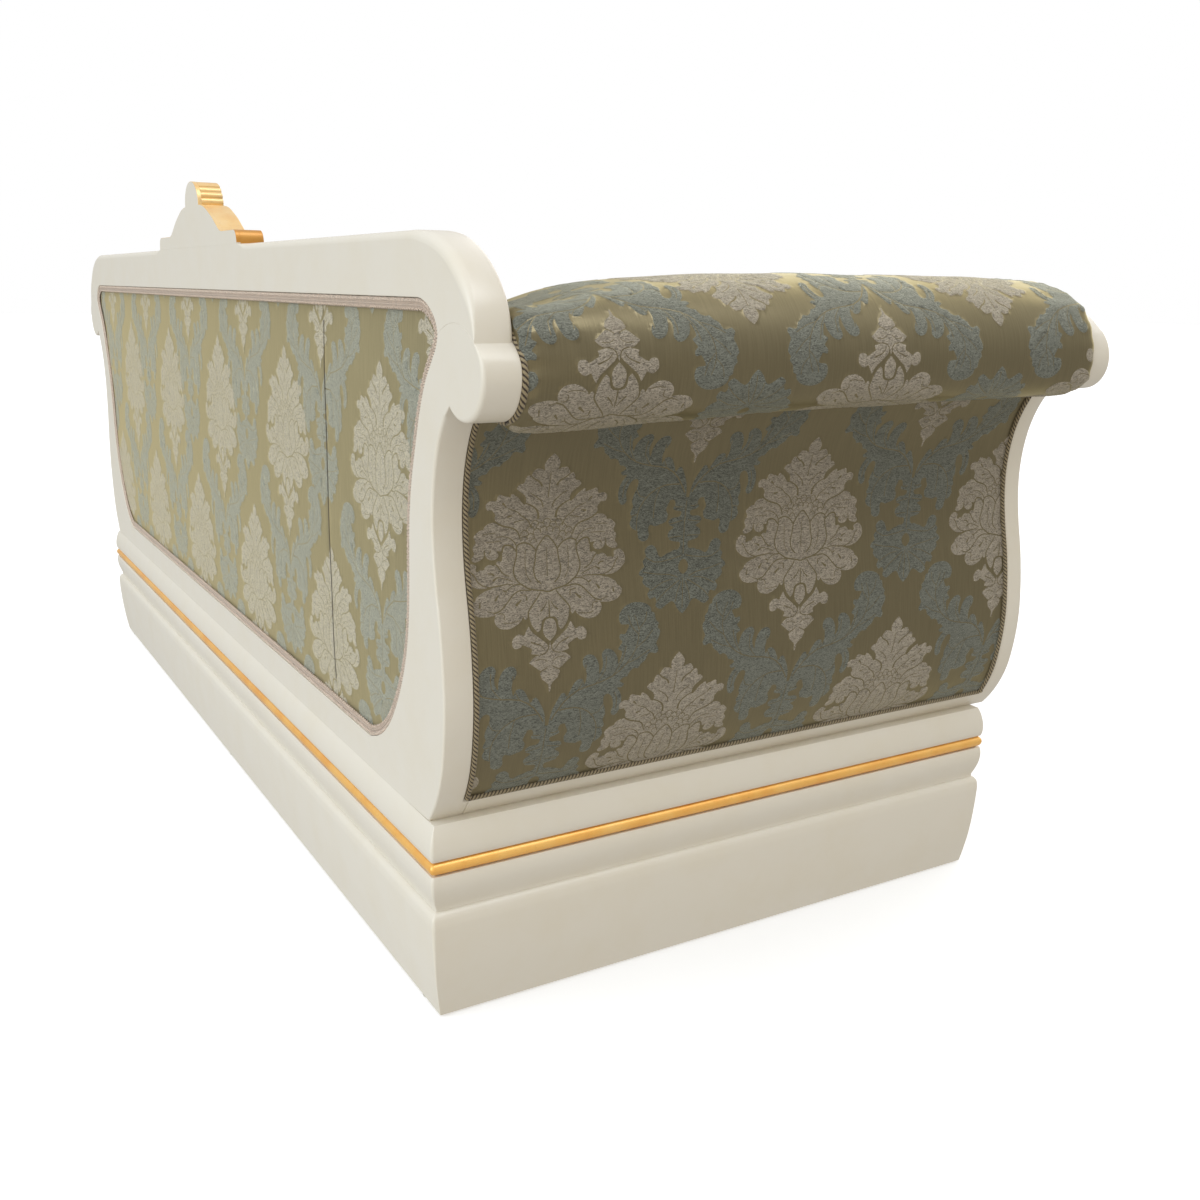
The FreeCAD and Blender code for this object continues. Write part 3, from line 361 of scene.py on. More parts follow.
PENDANT = [
    (-0.5, 184.2), (0.6, 181), (2.6, 181.2), (4.9, 184), (9.1, 187.4), (14.7, 192), (19.1, 195.3), (21.9, 198.7), (23.6, 202), (24.7, 203.9), (26.9, 201.4),
    (29.1, 197.6), (30.9, 194.8), (33.6, 195.9), (36.9, 197), (40.8, 195.6), (44.1, 192.6), (45.2, 189.2), (44.7, 184.8), (42.4, 182.2), (38.6, 181.8),
    (34.7, 183.1), (33.6, 185.1), (29.7, 183.7), (25.8, 181.4), (22.4, 179.8), (21.7, 177), (23, 174.2), (19.1, 173.1), (14.7, 172), (12.2, 171.2),
    (14.6, 170.9), (18, 170.3), (21.9, 167.6), (25.2, 164.2), (22.4, 162), (19.7, 159.8), (14.7, 155.9), (10.6, 153.1), (12.2, 150.3), (10.8, 147.6),
    (9.7, 144.2), (6.3, 141.4), (3.6, 139.2), (1.9, 137), (1.3, 133.1), (0.9, 129.6), (0.0, 128.6),
]
# strokes of bare ground inside the beige: points, width at the start, width at the end
VEINS = [
    ([(3, 368), (3.6, 360), (4.3, 350), (4.1, 341)], 0.7, 1.3),
    ([(27.2, 366.4), (22.4, 362), (18, 359.8), (14.1, 356.4), (12.6, 353.4)], 1.3, 2.3),
    ([(25.8, 346.4), (20.2, 343.1), (14.7, 339.2), (10.8, 335.3), (9.1, 330.3)], 0.8, 1.3),
    ([(31, 336.2), (24.7, 333.7), (19.1, 330.3), (15.8, 327), (14.1, 323.1), (13.7, 318.7)], 1.1, 2.8),
    ([(50.2, 331.4), (43.6, 329.2), (38, 326.4), (34.7, 323.1), (30.2, 320.3), (26.3, 317.6), (23.6, 313.7), (21.3, 309)], 0.8, 1.4),
    ([(53, 333.2), (55.4, 336), (57.4, 337.4)], 0.9, 2.6),
    ([(45.2, 323.9), (50.4, 322.8)], 1.2, 2.2),
    ([(30.2, 318.1), (36.9, 317.6), (42.3, 316.2)], 0.7, 1.0),
    ([(66, 319.6), (59.1, 315.3), (53.6, 313.1), (46.9, 311.4), (41.3, 309.2), (36.9, 305.3), (34.1, 299)], 1.8, 1.5),
    ([(62, 302.6), (54.7, 302.6), (49.1, 301.2), (44.7, 298.7), (41.3, 295.9), (38.8, 292)], 0.7, 1.3),
    ([(74, 297.8), (66, 297.9), (57, 298.1)], 0.6, 0.8),
    ([(78, 306.2), (71, 307), (64, 306.8)], 0.6, 0.8),
    ([(70, 285.5), (68, 289)], 1.2, 0.7),
    ([(75.4, 285.6), (75, 290)], 1.6, 0.7),
    ([(4.7, 298.2), (8.6, 294), (12.4, 288.7), (14.7, 283), (15.4, 274), (17.1, 265), (16.4, 259.6), (14.1, 253.7), (8.4, 248.6)], 1.5, 1.5),
    ([(14.9, 284.5), (18, 288), (21.3, 290.9), (25.8, 293.1), (30.2, 294), (35.8, 292.6), (38.2, 290.3), (37.7, 285.3), (38.2, 279.8), (40.2, 272),
      (41.3, 266.4), (40.4, 260.4), (36.2, 253.4), (30.8, 249.2)], 1.5, 1.6),
    ([(38.6, 286), (42.4, 290.3), (46.9, 292.6), (51.9, 293.1), (54.3, 290.6), (54.9, 286)], 1.5, 2.2),
    ([(64, 275.6), (59.1, 270.9), (55.8, 265.9), (51.3, 262), (46.4, 260.2)], 1.6, 1.2),
    ([(27.4, 286), (27.6, 274), (26.4, 263), (24.7, 257.6), (20.2, 251.6)], 0.6, 1.0),
    ([(2.2, 287), (1.6, 272), (0.8, 256)], 0.6, 1.0),
    ([(2.4, 299.2), (-0.4, 298.4)], 1.5, 1.5),
    ([(71, 265.2), (67, 264.6), (64.4, 262.8)], 1.0, 2.2),
    ([(60.4, 260.2), (64.9, 257.2)], 1.2, 2.4),
    ([(90, 267.6), (87.4, 265.4), (85.2, 262), (83.4, 258.6), (80.2, 255.3), (75.8, 252.6), (69, 250.6)], 1.4, 1.0),
    ([(60, 260.2), (50.2, 257.6), (42.4, 254.2)], 0.7, 1.2),
    ([(72, 249.6), (64.7, 250.6), (55.8, 251.3), (48, 252), (42, 250.9)], 1.9, 0.8),
    ([(31.2, 249.6), (24.7, 245.3), (16.9, 242.6), (9.1, 241.4), (1.3, 239.2), (-0.6, 239)], 1.8, 1.5),
    ([(34, 250), (40.2, 250.3), (45.8, 247.6), (49.5, 244.6), (50.6, 241)], 1.4, 0.9),
    ([(59, 241.4), (62.6, 236.2)], 1.2, 2.8),
    ([(50.8, 244.6), (53.6, 245.8)], 2.0, 1.2),
    ([(80.2, 236), (80.5, 230.6)], 1.0, 2.0),
    ([(64.4, 222.4), (62.4, 223.1), (56.9, 224.8), (52.4, 228.7), (48, 233.1), (43.6, 238.1), (38, 242.2), (32.4, 243.7), (26.9, 243.3), (20, 242.4)], 1.7, 1.3),
    ([(72, 225.6), (66, 223.6), (62.4, 223)], 0.7, 1.2),
    ([(32.2, 233.4), (38.2, 228.5)], 1.4, 3.2),
    ([(33.6, 238.7), (26.9, 238.2), (25.6, 234.5), (25.4, 232.6)], 0.9, 1.7),
    ([(24.4, 215), (24.1, 219.8), (20.2, 225.3), (15.8, 230.3), (11.9, 234.8), (9.1, 239.4)], 1.8, 1.3),
    ([(53.2, 214.6), (52.6, 218.6), (55, 221.4), (59.4, 221.6)], 0.9, 1.1),
    ([(35, 211.8), (41, 210.8), (48, 210.2), (53.6, 211.4)], 0.7, 0.9),
    ([(1.3, 228.6), (4.7, 223.1), (9.4, 218.8)], 0.9, 1.7),
    ([(-1.2, 230), (-1.4, 220), (-1.3, 212)], 1.0, 1.8),
    ([(6, 176.2), (10.5, 181.5), (16, 184), (22.6, 186.6)], 0.8, 1.5),
    ([(1.2, 181.4), (2.2, 176), (6, 172.6), (12, 171.3)], 1.2, 1.1),
    ([(3.2, 163), (9, 166.5), (17.5, 166)], 0.7, 0.9),
    ([(2.6, 157.6), (6, 155.2), (10.6, 153.3)], 0.8, 1.3),
]
SEEDS = [(0, 313, 4.8), (7.6, 309.5, 4.6), (14.2, 312.2, 4.4), (3.6, 305, 4.4), (11.6, 303.2, 4.6), (19.6, 306.4, 4.6), (19.2, 298.6, 4.4), (26.6, 302.4, 4.6),
         (15.6, 293.6, 3.8), (27.2, 297.2, 3.8)]

# blue acanthus, from its own junction
BLUE = [
    (2.0, -20), (3.4, -8), (6.5, 1), (11, 9), (15.5, 15.6), (19.8, 15.2), (22, 10.8), (26, 17), (30.5, 25), (36.5, 29), (42, 27.4), (43.8, 21.5), (46.4, 30),
    (45, 38), (41, 45), (41.6, 51.6), (47, 55.2), (54.6, 53.4), (60, 46.6), (62.2, 38.6), (62.4, 31), (66.4, 38), (66.6, 46), (65, 53), (69.6, 58.4), (77, 57.2),
    (83, 52), (86.2, 45), (87, 38.6), (90.4, 46), (91.6, 53), (86.4, 56), (89, 60), (92, 64), (88, 68), (89, 73), (95, 72), (98, 76), (101, 82), (95, 83),
    (90, 84), (87.4, 90), (89, 97), (95, 103), (104, 106.4), (115, 106), (124, 103), (129.6, 98), (130.4, 93.6), (134.6, 91.6), (136, 84), (140.2, 79.4), (138.8, 74.6),
    (142.4, 70), (140, 62), (137, 56.4), (140.2, 49), (137, 44.6), (130.4, 46.4), (126, 45), (123.2, 39), (117, 35), (113.4, 30.6), (108.4, 31.4), (103, 28.6), (99.4, 23),
    (95, 22.4), (90, 18.4), (96, 14.6), (92.6, 11), (87, 11.4), (90.2, 7), (93, 2), (94.6, -5), (94, -13), (91, -20), (86, -22.4), (82, -18), (84, -11), (83, -4),
    (80, 3), (75, 6), (70.4, 3), (70.9, -5), (73.8, -12.5), (74.9, -20), (72.6, -25.4), (75.6, -32.5), (73, -37.5), (75.2, -44), (71, -50), (63.8, -53.6), (63.4, -60),
    (57.9, -65), (50.9, -64.6), (48.2, -58.8), (49.8, -52.6), (47.8, -47.6), (40.8, -49.8), (33.5, -48), (26.4, -45.6), (24.4, -38), (27.8, -32.5), (25.3, -26),
    (22.6, -21.6), (17.7, -22), (15.4, -27), (18.2, -31.4), (13.9, -34.2), (6.6, -35.6), (6.4, -39.6), (10.4, -42), (17.9, -42.2), (22.6, -45.5), (21.5, -50),
    (14.8, -53), (21.2, -57.3), (22.6, -62.5), (18.8, -67.6), (11, -69.6), (5.8, -70.6), (5.6, -76), (9, -79), (13, -78.6), (18.6, -81), (23.3, -82), (30.5, -85.6),
    (34.8, -82), (37.6, -75), (43.4, -70.6), (49.6, -71.8), (53, -77), (50.9, -82.6), (55.4, -88), (52.9, -93.8), (57.8, -97.6), (60, -102.5), (54, -106),
    (55.4, -111), (50.4, -116.6), (45, -119.8), (48.4, -125), (44.8, -131.4), (39, -129.6), (36, -133.6), (37, -140), (30.1, -144.2), (23, -140.4), (15.8, -136.8),
    (11, -139.5), (7.9, -145), (3.6, -150), (0.2, -152.4),
]
BLUE_HOLE = [(0, -90), (4, -92), (7, -98), (5, -104), (1, -107), (0, -107)]
BLUE_VEINS = [
    ([(5, -14), (18, 4), (36, 16), (58, 20), (80, 26), (98, 38), (110, 54), (114, 74), (108, 92)], 1.6, 0.7),
    ([(36, 16), (44, 30), (45, 44)], 0.7, 1.0), ([(58, 20), (70, 34), (71, 50)], 0.7, 1.0), ([(80, 26), (92, 42), (97, 58)], 0.7, 1.0),
    ([(98, 38), (112, 42), (128, 50)], 0.7, 0.9), ([(110, 54), (122, 62), (132, 72)], 0.7, 0.9), ([(113, 70), (104, 80), (100, 92)], 0.7, 0.9),
    ([(114, 76), (122, 84), (124, 94)], 0.7, 0.9), ([(24, 8), (24, 14)], 0.7, 0.9),
    ([(14, -4), (34, -4), (52, -12), (64, -28), (66, -46), (63, -60)], 1.4, 0.8),
    ([(40, -6), (44, -22), (44, -40)], 0.8, 1.0), ([(56, -16), (66, -14), (72, -4)], 0.7, 0.9), ([(65, -34), (74, -36), (79, -34)], 0.7, 0.9),
    ([(84, 6), (88, -2), (88, -14)], 0.8, 1.0), ([(6, -30), (14, -30), (24, -22)], 0.8, 1.0), ([(4, -46), (14, -48), (24, -49)], 0.8, 1.0),
    ([(4, -64), (14, -64), (22, -65)], 0.8, 1.0), ([(3, -86), (12, -88), (26, -90), (40, -90), (54, -82)], 1.0, 0.8),
    ([(8, -110), (20, -106), (36, -104), (54, -100)], 1.0, 0.8), ([(6, -114), (16, -120), (28, -128), (38, -138)], 1.0, 0.8),
    ([(3, -116), (8, -128), (10, -138)], 0.9, 0.8), ([(14, -112), (28, -114), (44, -122)], 0.8, 0.9),
    ([(0.4, -112), (0.4, -130), (0.4, -146)], 0.8, 1.0), ([(0.4, -24), (0.4, -50), (0.4, -84)], 1.0, 1.0),
]


def straighten(p):
    xs = [q[0] for q in LEAN]
    return (p[0] - float(np.interp(p[1], xs, [q[1] for q in LEAN])), p[1])


def smooth(pts, n=2, closed=False, tight=0.5):
    """Points on a run of cubic segments through pts."""
    out = []
    m = len(pts)
    for i in range(m if closed else m - 1):
        p0, p1, p2, p3 = (pts[(i - 1) % m], pts[i], pts[(i + 1) % m], pts[(i + 2) % m]) if closed else \
            (pts[max(i - 1, 0)], pts[i], pts[i + 1], pts[min(i + 2, m - 1)])
        for k in range(n):
            t = k / n
            a, b, c, d = -tight * t + 2 * tight * t ** 2 - tight * t ** 3, 1 + (tight - 3) * t ** 2 + (2 - tight) * t ** 3, \
                tight * t + (3 - 2 * tight) * t ** 2 + (tight - 2) * t ** 3, -tight * t ** 2 + tight * t ** 3
            out.append((a * p0[0] + b * p1[0] + c * p2[0] + d * p3[0], a * p0[1] + b * p1[1] + c * p2[1] + d * p3[1]))
    if not closed:
        out.append(pts[-1])
    return out


def stroke(pts, w0, w1, n=3):
    """Closed outline of a line that swells from w0 to w1."""
    q = np.array(smooth(pts, n))
    t = np.gradient(q, axis=0)
    t /= np.maximum(np.hypot(t[:, 0], t[:, 1]), 1e-9)[:, None]
    nrm = np.stack([-t[:, 1], t[:, 0]], 1)
    k = np.linspace(0, 1, len(q))
    w = ((w0 + (w1 - w0) * k) / 2)[:, None]
    a, b = q + nrm * w, q - nrm * w
    e0, e1 = q[0] - t[0] * w[0] * 0.9, q[-1] + t[-1] * w[-1] * 0.9
    return [tuple(p) for p in [e0, *a, e1, *b[::-1]]]


def whole(half, n=2):
    """Closed outline from its right half."""
    r = smooth(half, n)
    return r + [(-x, y) for x, y in r[::-1] if abs(x) > 0.05]


def both(poly):
    return [poly, [(-x, y) for x, y in poly[::-1]]]


def repeat_unit(n=2):
    """Outlines of one unit as (kind, points): 1 beige, 2 blue, 0 bare ground cut out of them."""
    out = []
    for half in (BODY, DROP, PENDANT):
        h = [straighten(p) for p in half]
        h[0], h[-1] = (0.0, h[0][1]), (0.0, h[-1][1])
        out.append((1, whole(h, n)))
    for pts, a, b in VEINS:
        q = [straighten(p) for p in pts]
        if max(abs(p[0]) for p in q) < 1.6:
            out.append((0, stroke([(0.0, p[1]) for p in q], a, b, n)))
        else:
            out += [(0, s) for s in both(stroke(q, a, b, n))]
    for x, y, r in SEEDS:
        arc = [(x + r * math.cos(t), y + r * math.sin(t)) for t in np.linspace(math.radians(-8), math.radians(188), 9)]
        s = stroke(arc, 0.9, 0.9, 1)
        out += [(0, s)] if x == 0 else [(0, k) for k in both(s)]
    j = 389.5 - 281.0
    out.append((2, whole([(x, y + j) for x, y in BLUE], n)))
    hole = smooth([(x, y + j) for x, y in BLUE_HOLE], 2)
    out.append((0, hole + [(-x, y) for x, y in hole[::-1] if x > 0.05]))
    for pts, a, b in BLUE_VEINS:
        q = [(x, y + j) for x, y in pts]
        s = stroke(q, a, b, n)
        out += [(0, s)] if max(abs(p[0]) for p in q) < 1 else [(0, k) for k in both(s)]
    return [(kind, np.array(p, float)) for kind, p in out]


UNITS = {n: repeat_unit(n) for n in (1, 2)}
UP, ACROSS = 480.0, 177.0


def columns(centres, low, high, drop=UP / 2, flip=1.0, lean=0.0, rise=UP):
    """Placed units as (a at s = 260, b0, direction of s, lean): column positions with the s of their first unit at b = b0."""
    out = []
    for c, b0 in centres:
        k0 = int(math.floor((low - b0) / rise)) - 2
        k1 = int(math.ceil((high - b0) / rise)) + 2
        for k in range(k0, k1 + 1):
            out.append((c, b0 + k * rise, flip, lean))
    return out


def put(unit, P):
    c, b0, f, lean = unit
    b = b0 + f * P[:, 1]
    return np.stack([c + P[:, 0] + lean * (P[:, 1] - 260.0), b], 1)


def fabric(outline, units, surf, step=9.0, fine=1, out=1.0, **more):
    """A patterned cloth on a surface: 3-D points, triangles, kind per triangle (0 ground, 1 beige, 2 blue), flat coordinates."""
    flat = cut_cloth(outline, units, step, fine, **more)
    return drape(flat, surf, out)


def cut_cloth(outline, units, step=9.0, fine=1, lift=(0.55, 0.4), rims=True, extra=None, seed=3):
    """The motif outlines cut into a flat cloth: flat points, triangles, kind per triangle and how far each point stands proud."""
    outline = np.asarray(outline, float)
    lo, hi = outline.min(0), outline.max(0)
    placed = []
    for u in units:
        for kind, P in UNITS[fine]:
            Q = put(u, P)
            if (Q.max(0) > lo).all() and (Q.min(0) < hi).all():
                placed.append((kind, Q))
    pts, edges, n = [outline], [], len(outline)
    i = np.arange(n)
    edges.append(np.stack([i, (i + 1) % n], 1))
    for kind, Q in placed:
        m = len(Q)
        near = ((Q > lo - 12) & (Q < hi + 12)).all(1)
        i = np.arange(m)
        j = (i + 1) % m
        ok = near[i] | near[j]
        pts.append(Q)
        edges.append(np.stack([i + n, j + n], 1)[ok])
        n += m
        if rims and kind:
            R, nn = outward(Q)
            R = R - nn * 1.1
            R = R[((R > lo) & (R < hi)).all(1)]
            pts.append(R)
            n += len(R)
    nx, ny = max(2, int((hi[0] - lo[0]) / step)), max(2, int((hi[1] - lo[1]) / (step * 0.9)))
    gx, gy = np.meshgrid(np.linspace(lo[0], hi[0], nx + 1), np.linspace(lo[1], hi[1], ny + 1))
    gx[1::2] += step / 2
    G = np.stack([gx.ravel(), gy.ravel()], 1)
    G += np.random.RandomState(seed).uniform(-0.9, 0.9, G.shape)
    G = G[((G > lo + 0.6) & (G < hi - 0.6)).all(1)]
    pts.append(G)
    if extra is not None:
        pts.append(extra)
    A = np.vstack(pts)
    keep = ((A > lo - 260) & (A < hi + 260)).all(1)
    E = np.vstack(edges)
    E = E[keep[E].all(1)]
    remap = np.cumsum(keep) - 1
    A, E = A[keep], remap[E]
    res = delaunay_2d_cdt([Vector(p) for p in A.tolist()], E.tolist(), [], 0, 1e-4)
    B = np.array([(v.x, v.y) for v in res[0]])
    T = np.array([f for f in res[2] if len(f) == 3], int)
    cen = B[T].mean(1)
    ok = inside(cen, outline)
    T, cen = T[ok], cen[ok]
    kinds = np.zeros(len(T), int)
    for want in (2, 1, 0):
        for kind, Q in placed:
            if kind != want:
                continue
            a, b = Q.min(0), Q.max(0)
            c = np.nonzero(((cen > a) & (cen < b)).all(1))[0]
            if len(c):
                kinds[c[inside(cen[c], Q)]] = kind
    used = np.unique(T)
    new = np.full(len(B), -1)
    new[used] = np.arange(len(used))
    T, B = new[T], B[used]
    vmin, vmax = np.full(len(B), 9), np.full(len(B), -1)
    rep = np.repeat(kinds, 3)
    np.minimum.at(vmin, T.ravel(), rep)
    np.maximum.at(vmax, T.ravel(), rep)
    up = np.where((vmin == vmax) & (vmin == 1), lift[0], np.where((vmin == vmax) & (vmin == 2), lift[1], 0.0))
    a, b, c = B[T[:, 0]], B[T[:, 1]], B[T[:, 2]]
    cw = (b[:, 0] - a[:, 0]) * (c[:, 1] - a[:, 1]) - (c[:, 0] - a[:, 0]) * (b[:, 1] - a[:, 1]) < 0
    T[cw] = T[cw][:, ::-1]
    return B, T, kinds, up


def drape(flat, surf, out=1.0):
    B, T, kinds, up = flat
    P = surf(B[:, 0], B[:, 1])
    e = 0.5
    du = surf(B[:, 0] + e, B[:, 1]) - surf(B[:, 0] - e, B[:, 1])
    dv = surf(B[:, 0], B[:, 1] + e) - surf(B[:, 0], B[:, 1] - e)
    N = np.cross(du, dv)
    N /= np.maximum(np.linalg.norm(N, axis=1), 1e-9)[:, None]
    return P + N * (up * out)[:, None], T if out > 0 else T[:, ::-1], kinds, B


def spread(B, x0=0.0, y0=0.0, size=1.0, over=None):
    """Flat coordinates as a bake layout inside a square."""
    lo = B.min(0)
    k = (over or (B.max(0) - lo).max())
    return np.array([x0, y0]) + 0.004 + (B - lo) / k * (size - 0.008)


# ------------------------------------------------------------------ materials
def material(name):
    m = bpy.data.materials.new(name)
    m.use_nodes = True
    nt = m.node_tree
    nt.nodes.clear()
    out = nt.nodes.new("ShaderNodeOutputMaterial")
    b = nt.nodes.new("ShaderNodeBsdfPrincipled")
    nt.links.new(b.outputs[0], out.inputs[0])
    return m, nt, b


def nd(nt, kind, props=None, **sockets):
    n = nt.nodes.new("ShaderNode" + kind)
    for k, v in (props or {}).items():
        setattr(n, k, v)
    for k, v in sockets.items():
        s = n.inputs[k.replace("_", " ")]
        if isinstance(v, bpy.types.NodeSocket):
            nt.links.new(v, s)
        else:
            s.default_value = v
    return n


def ramp(nt, fac, stops):
    n = nt.nodes.new("ShaderNodeValToRGB")
    nt.links.new(fac, n.inputs[0])
    el = n.color_ramp.elements
    while len(el) < len(stops):
        el.new(0.5)
    for e, (p, c) in zip(el, stops):
        e.position, e.color = p, (*c, 1)
    return n.outputs[0]


def mixc(nt, fac, a, b, mode="MIX"):
    n = nt.nodes.new("ShaderNodeMix")
    n.data_type, n.blend_type = "RGBA", mode
    for s, v in ((n.inputs[0], fac), (n.inputs[6], a), (n.inputs[7], b)):
        if isinstance(v, bpy.types.NodeSocket):
            nt.links.new(v, s)
        elif isinstance(v, (int, float)):
            s.default_value = v
        else:
            s.default_value = (*v, 1)
    return n.outputs[2]


def noise(nt, vec, scale, detail=3.0, rough=0.55, dist=0.0):
    return nd(nt, "TexNoise", Vector=vec, Scale=scale, Detail=detail, Roughness=rough, Distortion=dist).outputs[0]


def stretched(nt, vec, k):
    return nd(nt, "Mapping", {"vector_type": "POINT"}, Vector=vec, Scale=k).outputs[0]


def put_in(b, **vals):
    for k, v in vals.items():
        b.inputs[k.replace("_", " ")].default_value = v


def scaled(c, k):
    return tuple(min(1.0, x * k) for x in c)


def cloth_material(name, colour, crinkle, deep, tint, sheen, rough, streak=0.0, gloss=0.3):
    """Woven silk-like cloth: slow shading of the dye lots, thread streaks, and a crinkled weft in the raised motifs,
    its troughs darkened and its crests lightened in the colour as painted shade and painted highlight.
    """
    m, nt, b = material(name)
    uv = nd(nt, "UVMap", {"uv_map": "cloth"}).outputs[0]
    slow = noise(nt, uv, 9.0, 2.0)
    fine = noise(nt, stretched(nt, uv, (2400.0, 160.0, 1.0)), 1.0, 2.0)
    thread = noise(nt, stretched(nt, uv, (560.0, 20.0, 1.0)), 1.0, 2.0)
    weft = noise(nt, stretched(nt, uv, (190.0, 500.0, 1.0)), 1.0, 2.0, 0.55, 2.2)
    base = mixc(nt, slow, scaled(colour, 0.92), scaled(colour, 1.08))
    # painted shade and highlight: the weft noise that raises the crinkle bump also darkens the colour in its troughs
    # and lightens it on its crests
    if crinkle:
        base = mixc(nt, ramp(nt, weft, [(0.38, (0, 0, 0)), (0.56, (1, 1, 1))]), mixc(nt, 1.0, base, (deep, deep, deep), "MULTIPLY"),
                    mixc(nt, 1.0, base, (1 + crinkle,) * 3, "MULTIPLY"))
    k = streak or 0.05
    base = mixc(nt, fine, mixc(nt, 1.0, base, (1 - k,) * 3, "MULTIPLY"), mixc(nt, 1.0, base, (1 + k,) * 3, "MULTIPLY"))
    if streak:
        base = mixc(nt, ramp(nt, thread, [(0.30, (0, 0, 0)), (0.70, (1, 1, 1))]), mixc(nt, 1.0, base, (1 - 1.5 * k,) * 3, "MULTIPLY"),
                    mixc(nt, 1.0, base, (1 + 1.5 * k,) * 3, "MULTIPLY"))
    nt.links.new(base, b.inputs["Base Color"])
    hgt = mixc(nt, 0.9, fine, weft) if crinkle else mixc(nt, 0.75, fine, thread)
    bump = nd(nt, "Bump", Strength=1.0 if crinkle else 0.22, Distance=0.0016 if crinkle else 0.0007, Height=hgt)
    nt.links.new(bump.outputs[0], b.inputs["Normal"])
    put_in(b, Roughness=rough, Sheen_Weight=sheen, Sheen_Roughness=0.36, Sheen_Tint=(*tint, 1), Specular_IOR_Level=0.42, Specular_Tint=(*tint, 1), Metallic=gloss)
    return m


GROUND = cloth_material("damask_ground", (0.183, 0.154, 0.092), 0.0, 1.0, (1.0, 0.89, 0.54), 0.5, 0.33, 0.05, 0.62)
BEIGE = cloth_material("damask_beige", (0.318, 0.277, 0.225), 0.34, 0.50, (1.0, 0.93, 0.64), 0.5, 0.46, 0.0, 0.2)
BLUE_M = cloth_material("damask_blue", (0.149, 0.154, 0.132), 0.32, 0.52, (1.0, 0.99, 0.76), 0.5, 0.44, 0.0, 0.3)
DAMASK = [GROUND, BEIGE, BLUE_M]
# Lighter copies of the three cloth colours for the outside back: painted sheen, standing in for the bright gloss the
# back shows when seen edge-on
BACK_PAINTED_SHEEN = [cloth_material("damask_ground_back", (0.297, 0.262, 0.166), 0.0, 1.0, (1.0, 0.88, 0.50), 1.0, 0.36, 0.08, 0.55),
           cloth_material("damask_beige_back", (0.493, 0.449, 0.363), 0.30, 0.58, (1.0, 0.93, 0.64), 1.0, 0.46, 0.0, 0.2),
           cloth_material("damask_blue_back", (0.274, 0.282, 0.242), 0.28, 0.60, (1.0, 0.99, 0.76), 1.0, 0.44, 0.0, 0.3)]
WELT = cloth_material("damask_welt", (0.20, 0.169, 0.098), 0.12, 0.8, (1.0, 0.88, 0.50), 0.9, 0.42, 0.08, 0.5)


def ivory():
    m, nt, b = material("ivory_lacquer")
    co = nd(nt, "TexCoord").outputs["Object"]
    slow = noise(nt, co, 2.3, 4.0, 0.6)
    cloud = noise(nt, co, 14.0, 5.0, 0.6)
    grain = noise(nt, stretched(nt, co, (160.0, 160.0, 900.0)), 1.0, 3.0)
    c = mixc(nt, slow, (0.754, 0.701, 0.598), (0.778, 0.726, 0.623))
    c = mixc(nt, ramp(nt, cloud, [(0.42, (0, 0, 0)), (0.66, (1, 1, 1))]), c, mixc(nt, 1.0, c, (0.985, 0.975, 0.95), "MULTIPLY"))
    nt.links.new(c, b.inputs["Base Color"])
    r = nd(nt, "MapRange", Value=cloud, To_Min=0.30, To_Max=0.44).outputs[0]
    nt.links.new(r, b.inputs["Roughness"])
    h = mixc(nt, 0.3, noise(nt, co, 420.0, 2.0), grain)
    nt.links.new(nd(nt, "Bump", Strength=0.06, Distance=0.0006, Height=h).outputs[0], b.inputs["Normal"])
    put_in(b, Specular_IOR_Level=0.45, Coat_Weight=0.18, Coat_Roughness=0.22)
    return m


def gilded(name="gilding", tone=(1.0, 1.0, 1.0)):
    m, nt, b = material(name)
    co = nd(nt, "TexCoord").outputs["Object"]
    n1 = noise(nt, co, 22.0, 4.0, 0.55)
    n2 = noise(nt, co, 240.0, 3.0)
    c = ramp(nt, n1, [(0.30, (0.93, 0.445, 0.083)), (0.52, (0.97, 0.535, 0.125)), (0.78, (0.98, 0.60, 0.18))])
    c = mixc(nt, ramp(nt, n2, [(0.62, (0, 0, 0)), (0.80, (0.5, 0.5, 0.5))]), c, (0.60, 0.31, 0.08))
    c = mixc(nt, 1.0, c, tone, "MULTIPLY")
    nt.links.new(c, b.inputs["Base Color"])
    nt.links.new(nd(nt, "MapRange", Value=n1, To_Min=0.36, To_Max=0.46).outputs[0], b.inputs["Roughness"])
    nt.links.new(nd(nt, "Bump", Strength=0.05, Distance=0.0006, Height=mixc(nt, 0.5, n1, n2)).outputs[0], b.inputs["Normal"])
    put_in(b, Metallic=0.42, Specular_IOR_Level=0.6, Coat_Weight=0.25, Coat_Roughness=0.16)
    return m


